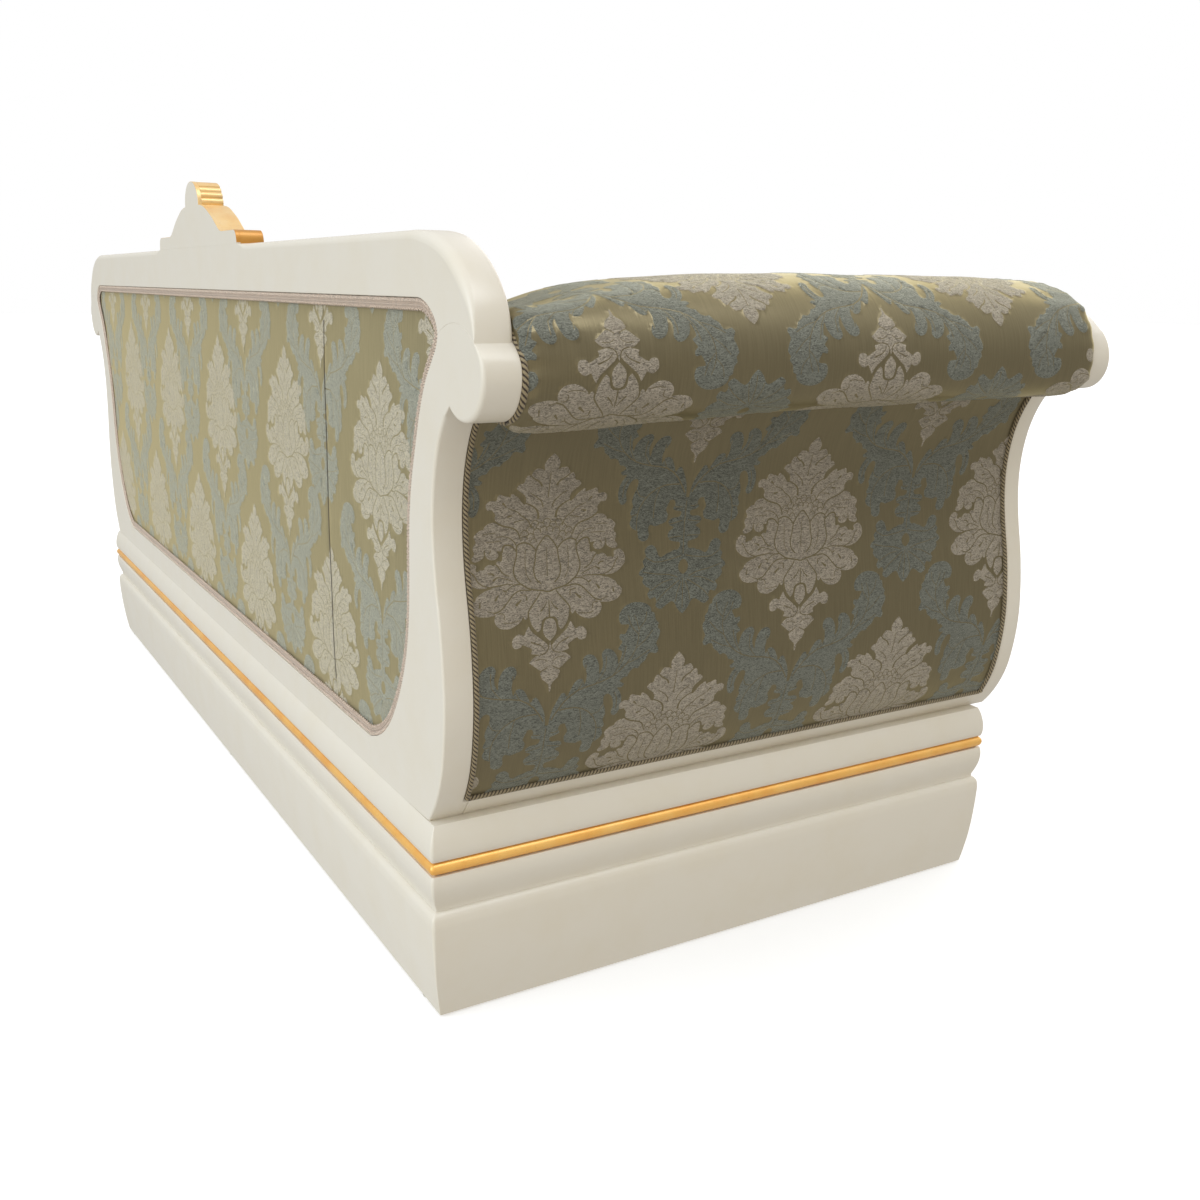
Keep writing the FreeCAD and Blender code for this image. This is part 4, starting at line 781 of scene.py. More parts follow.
def yarn(name, dark, mid, light, rough=0.62, sheen=0.3, ribs=0.0):
    """Twisted yarn: painted shade in the grooves between the strands and a painted highlight on their crowns, set by
    the second cloth coordinate; fine fibres across.
    """
    m, nt, b = material(name)
    uv = nd(nt, "UVMap", {"uv_map": "cloth"}).outputs[0]
    v = nd(nt, "SeparateXYZ", Vector=uv).outputs[1]
    fib = noise(nt, stretched(nt, uv, (1500.0, 18.0, 1.0)), 1.0, 2.0)
    # dark, mid and light by the second cloth coordinate: painted shade low in the grooves, painted highlight on the
    # outer crowns
    c = ramp(nt, v, [(0.62, dark), (0.84, mid), (1.0, light)])
    c = mixc(nt, fib, mixc(nt, 1.0, c, (0.8, 0.8, 0.8), "MULTIPLY"), mixc(nt, 1.0, c, (1.16, 1.16, 1.16), "MULTIPLY"))
    if ribs:
        rib = noise(nt, stretched(nt, uv, (430.0, 7.0, 1.0)), 1.0, 1.5)
        c = mixc(nt, ramp(nt, rib, [(0.40, (0, 0, 0)), (0.58, (1, 1, 1))]), mixc(nt, 1.0, c, (1 - ribs,) * 3, "MULTIPLY"), mixc(nt, 1.0, c, (1 + 0.4 * ribs,) * 3, "MULTIPLY"))
    nt.links.new(c, b.inputs["Base Color"])
    nt.links.new(nd(nt, "Bump", Strength=0.4, Distance=0.0005, Height=fib).outputs[0], b.inputs["Normal"])
    put_in(b, Roughness=rough, Sheen_Weight=sheen, Sheen_Roughness=0.4, Specular_IOR_Level=0.3)
    return m


def plain_cloth(name, colour, across, along, depth, rough=0.85, sheen=0.2):
    m, nt, b = material(name)
    co = nd(nt, "TexCoord").outputs["Object"]
    slow = noise(nt, co, 7.0, 3.0)
    a = noise(nt, stretched(nt, co, (across, along, across)), 1.0, 2.0)
    c2 = noise(nt, stretched(nt, co, (along, across, along)), 1.0, 2.0)
    w = mixc(nt, 0.5, a, c2)
    base = mixc(nt, slow, scaled(colour, 0.86), scaled(colour, 1.12))
    base = mixc(nt, w, mixc(nt, 1.0, base, (1 - depth,) * 3, "MULTIPLY"), mixc(nt, 1.0, base, (1 + depth,) * 3, "MULTIPLY"))
    nt.links.new(base, b.inputs["Base Color"])
    nt.links.new(nd(nt, "Bump", Strength=0.4, Distance=0.0008, Height=w).outputs[0], b.inputs["Normal"])
    put_in(b, Roughness=rough, Sheen_Weight=sheen, Sheen_Roughness=0.45, Specular_IOR_Level=0.2)
    return m


def wood():
    m, nt, b = material("planed_beech")
    co = nd(nt, "TexCoord").outputs["Object"]
    g = noise(nt, stretched(nt, co, (14.0, 90.0, 90.0)), 1.0, 5.0, 0.6, 0.4)
    fleck = noise(nt, stretched(nt, co, (120.0, 700.0, 700.0)), 1.0, 2.0)
    c = ramp(nt, g, [(0.3, (0.36, 0.205, 0.10)), (0.55, (0.50, 0.31, 0.165)), (0.75, (0.58, 0.385, 0.22))])
    c = mixc(nt, ramp(nt, fleck, [(0.62, (0, 0, 0)), (0.7, (1, 1, 1))]), c, (0.30, 0.165, 0.08))
    nt.links.new(c, b.inputs["Base Color"])
    nt.links.new(nd(nt, "Bump", Strength=0.15, Distance=0.0006, Height=g).outputs[0], b.inputs["Normal"])
    put_in(b, Roughness=0.6, Specular_IOR_Level=0.35)
    return m


def steel():
    m, nt, b = material("bright_steel")
    co = nd(nt, "TexCoord").outputs["Object"]
    n1 = noise(nt, co, 60.0, 4.0)
    n2 = noise(nt, stretched(nt, co, (900.0, 60.0, 900.0)), 1.0, 2.0)
    nt.links.new(ramp(nt, n1, [(0.3, (0.30, 0.30, 0.31)), (0.7, (0.50, 0.50, 0.51))]), b.inputs["Base Color"])
    nt.links.new(nd(nt, "MapRange", Value=n2, To_Min=0.25, To_Max=0.45).outputs[0], b.inputs["Roughness"])
    nt.links.new(nd(nt, "Bump", Strength=0.08, Distance=0.0004, Height=n2).outputs[0], b.inputs["Normal"])
    put_in(b, Metallic=1.0)
    return m


IVORY, GOLD, BEECH, STEEL = ivory(), gilded(), wood(), steel()
# Crest gilding copies: a paler one as painted highlight for the glare on the top of the crest, a darker one as painted
# shade for the crest's end faces
GOLD_PAINTED_GLARE, GOLD_PAINTED_SHADE = gilded("gilding_painted_glare", (0.90, 1.10, 1.95)), gilded("gilding_shaded", (0.60, 0.47, 0.24))
CORD = yarn("cord_yarn", (0.030, 0.020, 0.011), (0.19, 0.145, 0.082), (0.40, 0.325, 0.20))
# near-black yarn used only as painted shadow: in the cord grooves, in the gimp's cord and along the back seam
CORD_PAINTED_SHADOW = yarn("cord_painted_shadow", (0.020, 0.013, 0.008), (0.035, 0.024, 0.015), (0.060, 0.042, 0.028))
CORD_MID = yarn("cord_yarn_mid", (0.020, 0.013, 0.008), (0.12, 0.09, 0.051), (0.36, 0.29, 0.175))
BRAID = yarn("braid_yarn", (0.36, 0.25, 0.18), (0.60, 0.46, 0.35), (0.72, 0.58, 0.46), 0.55, 0.5, 0.30)
LINING = plain_cloth("platform_cloth", (0.20, 0.17, 0.115), 900.0, 260.0, 0.16)
FELT = plain_cloth("needled_felt", (0.52, 0.49, 0.42), 420.0, 420.0, 0.25, 0.95, 0.4)
BLACK = plain_cloth("dust_cloth", (0.022, 0.022, 0.024), 700.0, 300.0, 0.25, 0.9, 0.25)
JUTE = plain_cloth("jute_webbing", (0.36, 0.265, 0.15), 500.0, 170.0, 0.3)
FOAM = plain_cloth("foam_wadding", (0.78, 0.74, 0.60), 300.0, 300.0, 0.06, 0.95, 0.3)


# ------------------------------------------------------------------ ivory boards
def side_of(node):
    return 1.0 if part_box(node)[1][0] > 0.5 else -1.0


def place_pair(mesh, left, right, mats, sharp, slot, pad=None):
    """The same piece on both arms: mesh is drawn on the +X side."""
    for node in (left, right):
        m = mesh if side_of(node) > 0 else mirror(mesh)
        ob = m.build(node + "_shown", mats, sharp, "frame", (node,), slot, bake=bool(pad))


def flip_y(m):
    o = mirror(m)
    o.v = [v * np.array([-1, -1, 1]) for v in o.v]
    return o


o, s, j, w = smooth_run(OUTER, 6), smooth_run(SCROLL, 6), smooth_run(JOINT, 5), smooth_run(WAIST, 5)
reb = np.where((o[:, 1] > 262.5) & (o[:, 1] < 687), 13.0, 0.0)
P, r1 = closed([(o, np.where(o[:, 1] > 690, 1.6, 2.6 + 1.4 * ease(o[:, 1], 520, 690))), (s, 0.6 + 4.6 * np.sin(np.linspace(0, math.pi, len(s))) ** 0.7),
                (j, 0.45), (w, 1.0), ([(748, 240)], 0.35), ([(840, 240)], 0.35)])
P0, rb = closed([(o, reb), (s, 0), (j, 0), (w, 0), ([(748, 240)], 0), ([(840, 240)], 0)])
P0, r0 = closed([(o, 1.0), (s, 2.4), (j, 0.4), (w, 1.0), ([(748, 240)], 0.35), ([(840, 240)], 0.35)])
place_pair(board(P, 386.0, 427.0, r0, r1, cut=(rb, 392.8)), "back_stile_left", "back_stile_right", [IVORY], 32, "ivory_lacquer")

sh, co_ = smooth_run(SHOULDER, 6), smooth_run(CORNER, 5)
top = np.stack([np.linspace(900, -900, 181), np.full(181, 866.0)], 1)[1:-1]
k = np.linspace(0, 1, len(sh))
rsh = 0.5 + 2.1 * ease(k, 0.0, 0.08) + 8.4 * ease(k, 0.02, 0.45) - 2.5 * ease(k, 0.75, 1.0)
rtop = np.where(np.abs(top[:, 0]) < 264, 0.3, 8.5 * ease(np.abs(top[:, 0]), 258, 300))
rtop = np.maximum(rtop, 0.3)
mx = np.array([-1, 1])
P, r1 = closed([(sh, rsh), (top, rtop), ((sh * mx)[::-1], rsh[::-1]), (j * mx, 0.45), ((co_ * mx)[::-1], 1.0), (co_, 1.0), (j[::-1], 0.45)])
P0, r0 = closed([(sh, 5.0), (top, 5.6), ((sh * mx)[::-1], 5.0), (j * mx, 0.4), ((co_ * mx)[::-1], 1.0), (co_, 1.0), (j[::-1], 0.4)])
board(P, 386.0, 427.0, r0, r1).build("back_top_rail_shown", [IVORY], 32, "frame", ("back_top_rail",), "ivory_lacquer")
P, r1 = closed([([(748, 240), (748, 281.5)], 0.4), ([(-748, 281.5), (-748, 240)], 0.4)])
board(P, 386.0, 427.0, 0.4, r1).build("back_bottom_rail_shown", [IVORY], 32, "frame", ("back_bottom_rail",), "ivory_lacquer")

fs, ft = smooth_run(FSCROLL, 6), smooth_run(FTOP, 6)
arc = [(878 + 40 * math.cos(a), 772 + 40 * math.sin(a)) for a in np.linspace(math.pi / 2, math.pi, 12)]
P, r1 = closed([(o, np.where(o[:, 1] > 690, 1.6, 3.0)), (fs, 4.0), (ft, 5.0), (arc, 5.0), ([(838, 240)], 0.6), ([(900, 240)], 0.5)])
P0, r0 = closed([(o, 0.8), (fs, 2.6), (ft, 3.0), (arc, 3.0), ([(838, 240)], 0.6), ([(900, 240)], 0.5)])
P0, rb = closed([(o, reb), (fs, 0), (ft, 0), (arc, 0), ([(838, 240)], 0), ([(900, 240)], 0)])
place_pair(flip_y(board(P, 394.5, 434.5, r0, r1, cut=(rb, 406.5))), "arm_facing_left", "arm_facing_right", [IVORY], 32, "ivory_lacquer")

foot = smooth_run(OUTER[:4], 6)
foot = foot[foot[:, 1] <= 262.01]
P, r1 = closed([([(905, 240)], 0.4), (foot, 0.4), ([(905, 262)], 0.4)])
place_pair(board(P, -394.3, 385.7, 0.5, 0.5), "side_rail_left", "side_rail_right", [IVORY], 32, "ivory_lacquer")

# ------------------------------------------------------------------ base: plinth, moulding and bead, mitred at the corners
LEFT = side_of("plinth_left")
TURN = {"front": 225, "back": 45, "left": 315 if LEFT > 0 else 135, "right": 135 if LEFT > 0 else 315}


def base_ring(profile, side, radius=4.5):
    """One side of a mitred ring: a closed profile of (offset from the bead line, z), swept between two corner mitres."""
    prof = np.asarray(profile, float)
    a0 = TURN[side]
    rings = []
    for t in list(np.linspace(a0, a0 + 45, 6)) + list(np.linspace(a0 + 45, a0 + 90, 6)):
        second = len(rings) >= 6
        q = a0 + 90 if second else a0
        sx, sy = math.copysign(1, math.cos(math.radians(q))), math.copysign(1, math.sin(math.radians(q)))
        rc = np.maximum(radius + prof[:, 0] * 0.6, 0.8)
        cx, cy = sx * (HALF_L + prof[:, 0] - rc), sy * (HALF_D + prof[:, 0] - rc)
        rings.append(np.stack([cx + rc * math.cos(math.radians(t)), BASE_Y + cy + rc * math.sin(math.radians(t)), prof[:, 1]], 1))
    n = len(prof)
    m = Mesh().add(np.vstack(rings), band(len(rings), n, wrap_c=True))
    m.add(rings[0], np.arange(n)[None, :], flat=True)
    m.add(rings[-1], np.arange(n)[::-1][None, :], flat=True)
    return m


plinth = np.vstack([smooth_run(PLINTH, 5), [(-36, 136), (-36, 3)]])
groove = [(-9.5, 182.0), (-12.5, 185.2), (-14.2, 190.2), (-12.5, 195.2), (-9.5, 198.4)]
mould = np.vstack([smooth_run(MOULD_LOW[1:], 4), groove, smooth_run(MOULD_TOP, 5), [(-42, 240), (-42, 136.2), (-8.5, 136.2)]])
bead = [(-8 + 8 * math.cos(a), 190 + 7.6 * math.sin(a)) for a in np.linspace(0, 2 * math.pi, 24, endpoint=False)]
for side in TURN:
    base_ring(plinth, side).build("plinth_%s_shown" % side, [IVORY], 38, "frame", ("plinth_" + side,), "ivory_lacquer")
    base_ring(mould, side).build("base_moulding_%s_shown" % side, [IVORY], 38, "frame", ("base_moulding_" + side,), "ivory_lacquer")
    base_ring(bead, side, 5.0).build("gilt_bead_%s_shown" % side, [GOLD], 40, "frame", ("gilt_bead_" + side,), "gilding")

# ------------------------------------------------------------------ crest
dome = resample(smooth_run(CREST_TOP, 8, (1, 0), (0.1, -1)), 1.2)
sideway = smooth_run(CREST_SIDE, 5, None, (1, 0))
end = smooth_run(CREST_END, 5, (1, 0), (0, -1))


def crest_outline(d):
    half = np.vstack([d, sideway, end])
    P, _ = closed([(half[::-1] * mx, 0), (half[1:], 0)])
    return P


def ends(Q):
    return np.minimum(np.abs(Q[:, 0]), np.abs(np.roll(Q[:, 0], -1, 0))) > 245.5


P = crest_outline(dome)
P = outward(P)[0]
# the board's gilded rim is in the painted-glare gilding, its end faces in the painted-shade gilding
board(P, 421.0, 427.0, 0.2, np.where(P[:, 1] < 868, 0.05, 0.5), rim=np.where(np.minimum(P[:, 1], np.roll(P[:, 1], -1)) < 866.5, 0, np.where(ends(P), 2, 1))).build("crest_board_shown", [IVORY, GOLD_PAINTED_GLARE, GOLD_PAINTED_SHADE], 32, "frame", ("crest_board",), "ivory_lacquer")
L = lengths(dome)
u = (L - L[-1] + 36.0) / 12.0
t = np.gradient(dome, axis=0)
t /= np.hypot(t[:, 0], t[:, 1])[:, None]
sink = np.where(u > 0, 2.6 * (1 - np.abs(np.sin(math.pi * u)) ** 0.75), 0.0) + 0.3
reeded = dome - np.stack([-t[:, 1], t[:, 0]], 1) * sink[:, None]
reeded[0] = (0.0, dome[0, 1] - 0.3)
G = outward(crest_outline(reeded))[0]
# the carving's front is in the painted-glare gilding, its end faces in the painted-shade gilding
gm = board(G, 387.0, 421.0, np.where(G[:, 1] < 867, 0.3, 1.6), 0.2, seg=6, front=False, rim=np.where(ends(G), 1, 0))
ring_ = gm.v[0][:len(G)][:, [0, 2]]
gx, gz = np.meshgrid(np.arange(-258, 258.1, 2.0), np.arange(868, 964.1, 2.0))
pts = np.stack([gx.ravel(), gz.ravel()], 1)
pts = pts[inside(pts, ring_)]
dense = resample(np.vstack([ring_, ring_[:1]]), 0.8)
far = lambda q: np.sqrt(np.min(((q[:, None, :] - dense[None, :, :]) ** 2).sum(2), axis=1))
pts = pts[far(pts) > 6.4]
for gap in (0.9, 1.8, 2.6, 3.4, 4.4, 5.6):
    e1, en = outward(resample(np.vstack([ring_, ring_[:1]]), 1.9)[:-1])
    q = e1 - en * gap
    pts = np.vstack([pts, q[inside(q, ring_) & (np.abs(far(q) - gap) < 0.2)]])
B, T = fill(ring_, pts)
d, ax = far(B), np.abs(B[:, 0])
r, th = np.hypot(B[:, 0], B[:, 1] - 886.0), np.arctan2(B[:, 0], B[:, 1] - 886.0)
fan = 2.6 * np.abs(np.cos(4.5 * th)) ** 0.6 * ease(r, 10, 15) * (1 - ease(r, 58, 66)) * (1 - ease(np.abs(th), 1.25, 1.5))
boss = 3.4 * np.sqrt(np.clip(1 - (r / 10.0) ** 2, 0, 1))
leaf = 3.2 * np.abs(np.sin((ax - 62) / 12.0 + (B[:, 1] - 880) / 20.0)) ** 0.6 * ease(ax, 62, 72) * (1 - ease(ax, 226, 240))
field = ease(d, 3.2, 6.0)
lift_ = field * (1.25 * fan + boss + leaf - 3.8) + 0.9 * np.exp(-((d - 2.6) / 1.2) ** 2)
gm.add(np.stack([B[:, 0], 387.0 - lift_ * ease(d, 0, 1.2), B[:, 1]], 1), T, 0)
gm.build("crest_carving_shown", [GOLD_PAINTED_GLARE, GOLD_PAINTED_SHADE], 28, "frame", ("crest_carving",), "gilding")


# ------------------------------------------------------------------ twisted cords and braid
def frames(path, up):
    T = np.gradient(path, axis=0)
    T /= np.linalg.norm(T, axis=1)[:, None]
    N = np.broadcast_to(np.asarray(up, float), path.shape).copy()
    N -= (N * T).sum(1)[:, None] * T
    N /= np.maximum(np.linalg.norm(N, axis=1), 1e-9)[:, None]
    return T, N, np.cross(T, N)


def tube(m, path, radius, up, mat=0, nseg=7, axis=None, ref=1.0, squash=1.0, loop=False):
    """Round yarn along a path; the second cloth coordinate is the distance from the cord's own axis."""
    T, N, B = frames(path, up)
    a = np.linspace(0, 2 * math.pi, nseg, endpoint=False)
    V = path[:, None, :] + radius * (np.cos(a)[None, :, None] * N[:, None, :] * squash + np.sin(a)[None, :, None] * B[:, None, :])
    s_ = lengths(path)
    if axis is None:
        # without an axis the coordinate runs from 1.0 on the side towards up to 0.56 on the far side, which a yarn
        # material shows as a painted lit side and a painted shaded side
        rad = np.broadcast_to(0.78 + 0.22 * np.cos(a)[None, :], V.shape[:2])
    else:
        rad = np.linalg.norm(V - axis[:, None, :], axis=2) / ref
    cl = np.stack([np.broadcast_to((s_ * MM)[:, None], rad.shape), rad], -1).reshape(-1, 2)
    n = len(path)
    m.add(V.reshape(-1, 3), band(n, nseg, wrap_r=loop, wrap_c=True), mat, cloth=cl)
    if not loop:
        m.add(V[0], np.arange(nseg)[None, ::-1], mat, cloth=cl[:nseg], flat=True)
        m.add(V[-1], np.arange(nseg)[None, :], mat, cloth=cl[-nseg:], flat=True)


def twisted(m, path, r, up, pitch, step=1.6, plies=3, dark=True, loop=False, hand=1.0, ply=0):
    """Plies laid round each other, with a thin near-black tube in each groove as painted shadow between the plies."""
    path = resample(path, step)
    if loop:
        path = path[:-1]
    T, N, B = frames(path, up)
    s_ = lengths(path)
    if loop:
        total = s_[-1] + np.linalg.norm(path[0] - path[-1])
        pitch = total / round(total / pitch)
    pr, hr = r * 0.56, r * 0.46
    for i in range(plies):
        th = hand * 2 * math.pi * (s_ / pitch + i / plies)
        c = path + hr * (np.cos(th)[:, None] * N + np.sin(th)[:, None] * B)
        tube(m, c, pr, up, ply, 8, path, r, loop=loop)
        if dark:
            # painted shadow: a thin near-black tube laid in the groove between two plies
            th = th + math.pi / plies
            k, top = (0.42, 0.98) if ply else (0.23, 0.9)
            c = path + r * (top - k) * (np.cos(th)[:, None] * N + np.sin(th)[:, None] * B)
            tube(m, c, r * k, up, 1, 5, path, r, loop=loop)


def outer_at(inset_mm, z0, z1):
    run = Run(smooth_run(OUTER, 8))
    q = run.P + run.N * inset_mm
    return q[(run.P[:, 1] >= z0) & (run.P[:, 1] <= z1)]


cords = Mesh()
line = outer_at(1.0, 268.6, 676)
line = np.vstack([[(line[0][0] - 1.2, 266.6)], line, line[-1:] + 7.0 * (line[-1:] - line[-2:-1]) / np.linalg.norm(line[-1] - line[-2])])
for y, hand in ((389.2, 1.0), (-402.9, 1.0)):
    twisted(cords, np.stack([line[:, 0], np.full(len(line), y), line[:, 1]], 1), 3.2, (1, 0, 0.2), 15.0, hand=hand, ply=2)
ring = smooth_run(RING, 6)
twisted(cords, np.stack([ring[:, 0], 383.0 + 3.0 * np.linspace(-1, 1, len(ring)) ** 4, ring[:, 1]], 1), 3.8, (1, 0, 0.3), 17.0, ply=2)
ring = resample(smooth_run(OVER + FRING, 6), 2.0)
ln = lengths(ring)
turn = ln[np.argmin(np.hypot(ring[:, 0] - FRING[0][0], ring[:, 1] - FRING[0][1]))]
yr = -396.8 + 5.8 * ease(ln, turn - 34, turn + 26) - 3.0 * np.clip((ln - ln[-1] + 40) / 40, 0, 1) ** 4
twisted(cords, np.stack([ring[:, 0], yr, ring[:, 1]], 1), 3.6, (0.2, 1, 0.3), 17.0)
ys = np.linspace(386.6, -400.4, 120)
low = np.stack([np.full(120, 946.2), ys, np.full(120, 265.9)], 1)
twisted(cords, low, 3.1, (1, 0, 0), 14.0, ply=2)
place_pair(cords, "arm_cord_left", "arm_cord_right", [CORD, CORD_PAINTED_SHADOW, CORD_MID], None, "twisted_cord")

hole_half = np.vstack([co_, w[1:]])
hole, _ = closed([(hole_half, 0), ((hole_half * mx)[::-1], 0)])
hole, hole_n = outward(hole)


def ringed(d, y, step):
    """A closed line d inside the back opening."""
    q = hole - hole_n * d
    q = resample(np.vstack([q, q[:1]]), step)
    return np.stack([q[:, 0], np.full(len(q), y), q[:, 1]], 1)


gimp = Mesh()
twisted(gimp, ringed(2.7, 424.0, 2.0), 2.5, (0, 1, 0), 11.0, 2.0, dark=True, loop=True)
flat = [(4.6, 423.2), (5.2, 424.8), (6.6, 424.2), (7.6, 425.6), (8.6, 424.2), (9.8, 424.6), (10.6, 423.4)]
rows = [ringed(d, y, 3.0) for d, y in flat]
n = min(len(r) for r in rows)
rows = [np.stack([np.interp(np.linspace(0, 1, n), np.linspace(0, 1, len(r)), r[:, i]) for i in range(3)], 1)[:-1] for r in rows]
# each row's second cloth coordinate rises with how far it stands out, so the braid colour paints shade on the low rows
# and highlight on the raised ones
cl = np.stack([np.tile(lengths(rows[0]) * MM, len(rows)), np.repeat([0.62, 0.9, 0.72, 1.0, 0.72, 0.9, 0.62], n - 1)], 1)
gimp.add(np.vstack(rows), band(len(rows), n - 1, wrap_c=True)[:, ::-1], 0, cloth=cl)
wave = ringed(11.2, 423.6, 1.25)[:-1]
_, wn, wb = frames(wave, (0, 1, 0))
ln = lengths(wave)
per = ln[-1] / round(ln[-1] / 6.5)
wave = wave + wb * (1.5 * np.sin(2 * math.pi * ln / per))[:, None] + wn * (0.5 * np.cos(4 * math.pi * ln / per))[:, None]
# the scalloped braid edge: its side facing +Y takes a painted highlight, its inner side painted shade
tube(gimp, wave, 1.05, (0, 1, 0), 0, 5, loop=True)
gimp.build("back_gimp_shown", [BRAID, CORD_PAINTED_SHADOW], None, "frame", ("back_gimp",), "braid")

# ------------------------------------------------------------------ outside back
SEAM = [(801, -620.0), (700, -617.0), (500, -611.0), (300, -613.0), (270, -613.0)]


def seam_x(z):
    return np.interp(z, [p[0] for p in SEAM][::-1], [p[1] for p in SEAM][::-1])


def back_surf(a, b):
    edge = np.clip(np.minimum(960 - np.abs(a), np.minimum(801 - b, b - 281.5)) / 120.0, 0, 1)
    y = 420.6 + 2.3 * np.sin(edge * math.pi / 2) + 0.35 * ripple(a, b, 5, 260)
    d = np.abs(a - seam_x(b))
    y = y - 0.9 * np.exp(-(d / 3.0) ** 2)
    return np.stack([a, y, b], -1)


edge_in = resample(np.vstack([hole - hole_n * 8.0, (hole - hole_n * 8.0)[:1]]), 6.0)[:-1]
zs = np.arange(285, 800, 5.0)
extra = np.vstack([np.stack([seam_x(zs) + d, zs], 1) for d in (-4.5, -2.2, 0.0, 2.2, 4.5)])
extra = extra[inside(extra, edge_in)]
cols = [(-800 + 355 * i, 733 - 389.5) for i in range(-1, 6)] + [(-610 + 355 * i, 491 - 389.5) for i in range(-1, 6)]
V, T, kd, B = fabric(edge_in, columns(cols, 280, 805, rise=482.0, lean=-0.05), back_surf, 10.0, 1, extra=extra, out=-1.0, lift=(0.32, 0.22))
m = Mesh().add(V, T, kd, spread(B), B * MM)
# painted shadow line: a narrow strip in the near-black shadow yarn, standing just proud along the back's vertical seam
q = np.stack([seam_x(zs), zs], 1)[6:-5]
strip = np.vstack([back_surf(q[:, 0] + d, q[:, 1]) + np.array([0, up_, 0]) for d, up_ in ((-1.1, 0.75), (0, 1.1), (1.1, 0.75))])
m.add(strip, band(3, len(q)), 3, np.full((len(strip), 2), 0.999), np.stack([np.tile(q[:, 1] * MM, 3), np.full(len(strip), 0.8)], 1))
# the outside back wears the lighter painted-sheen copies of the cloth
ob = m.build("outside_back_panel_shown", BACK_PAINTED_SHEEN + [CORD_PAINTED_SHADOW], None, "frame", ("outside_back_panel",), "damask", bake=True)

# ------------------------------------------------------------------ outside arms
run = Run(smooth_run(OUTER, 8))
S0 = float(np.interp(262.0, run.P[:, 1], run.L))
lo_s, hi_s = float(np.interp(266.6, run.P[:, 1], run.L)) - S0, float(np.interp(684.0, run.P[:, 1], run.L)) - S0


def arm_surf(a, b):
    p, nn = run.at(b + S0), run.normal(b + S0)
    fat = np.clip(np.minimum(388 - a, np.minimum(a + 401, b - lo_s)) / 60.0, 0, 1)
    out = 2.2 - 1.0 * np.sin(fat * math.pi / 2) - 0.5 * ripple(a, b, 8, 300) * fat
    q = p + nn * out[..., None]
    return np.stack([q[..., 0], a, q[..., 1]], -1)


def rect(x0, x1, y0, y1, step=8.0):
    xs, ys_ = np.linspace(x0, x1, int((x1 - x0) / step) + 1), np.linspace(y0, y1, int((y1 - y0) / step) + 1)
    return np.vstack([np.stack([xs, np.full_like(xs, y0)], 1), np.stack([np.full_like(ys_, x1), ys_], 1)[1:],
                      np.stack([xs[::-1], np.full_like(xs, y1)], 1)[1:], np.stack([np.full_like(ys_, x0), ys_[::-1]], 1)[1:-1]])


units = []
for cx, dy, lean in ((296, 0, 0.046), (119.6, -239, 0.113), (-53, 0, 0.117), (-226, -239, 0.153), (-400, 0, 0.16), (470, -239, 0.03)):
    for row in (-478, 0, 478):
        units.append((cx - lean * (dy + row), dy + row, 1.0, -lean))
V, T, kd, B = fabric(rect(-401.5, 388.0, lo_s, hi_s), units, arm_surf, 6.0, 2)
m = Mesh().add(V, T, kd, spread(B), B * MM)
place_pair(m, "outside_arm_panel_left", "outside_arm_panel_right", DAMASK, None, "damask", pad=0.9)

# ------------------------------------------------------------------ arm rolls
roll_run = Run(resample(smooth_run(ROLL, 10, (0, 1)), 1.5))
ROLL_SKIP = 34.0


TOP_Y = (0, 50, 100, 150, 200, 238, 273, 300, 327, 360, 385)
TOP_FALL = (0, 1, 2.8, 5, 8.5, 13, 20, 29, 38, 43, 44)
HEM_Y = (-393, -340, -200, -50, 75, 185, 265, 300, 340, 360, 375, 385)
HEM_RISE = (11, 11, 9.5, 8, 6.5, 3, 0, -0.5, -2, -2, -1, 2)


def soft(a, xs, vs):
    """A table read with its corners rounded."""
    return sum(w * np.interp(a + s, xs, vs) for s, w in ((-14, 0.15), (-7, 0.22), (0, 0.26), (7, 0.22), (14, 0.15)))


def roll_surf(a, b):
    p, nn = roll_run.at(b), roll_run.normal(b)
    fr = ease(-a, 250, 390)
    d = soft(a, HEM_Y, HEM_RISE) * ease(b, 372, 430)
    d = d + fr * (3.0 * ease(b, 120, 200) * (1 - ease(b, 236, 262)) - 5.5 * ease(b, 262, 290) * (1 - ease(b, 372, 400)))
    tip = np.maximum(np.clip((a - 366.0) / 20.0, 0, 0.97), 0.92 * np.clip((-383.4 - a) / 10.2, 0, 1))
    d = d + np.where(a > 0, 11.0, 9.0 - 3.0 * ease(b, 250, 300)) * (1 - np.sqrt(1 - tip ** 2))
    pleat = np.sin(b * 2 * math.pi / 21.0 + 1.6 * np.sin(b / 31.0)) * ease(b, 90, 150) * (1 - ease(b, 400, 430))
    fold = np.sin(b * 2 * math.pi / 47.0 + 0.9 * np.sin(a / 40.0)) * ease(b, 120, 200) * (1 - ease(b, 380, 420))
    d = d + 1.5 * pleat * (np.exp(-(385.5 - a) / 20.0) + 0.45 * np.exp(-(a + 393.6) / 20.0)) + 1.2 * fold * np.exp(-(385.5 - a) / 46.0)
    d = d - 1.6 * ease(b, 330, 420) * ripple(a, b * 0.2, 21, 150) + 0.8 * ripple(a, b, 12, 170)
    q = p - nn * d[..., None]
    fall = soft(a, TOP_Y, TOP_FALL) * ease(b, 0, 70) * (1 - 0.97 * ease(b, 195, 310))
    return np.stack([q[..., 0], a, q[..., 1] - fall], -1)


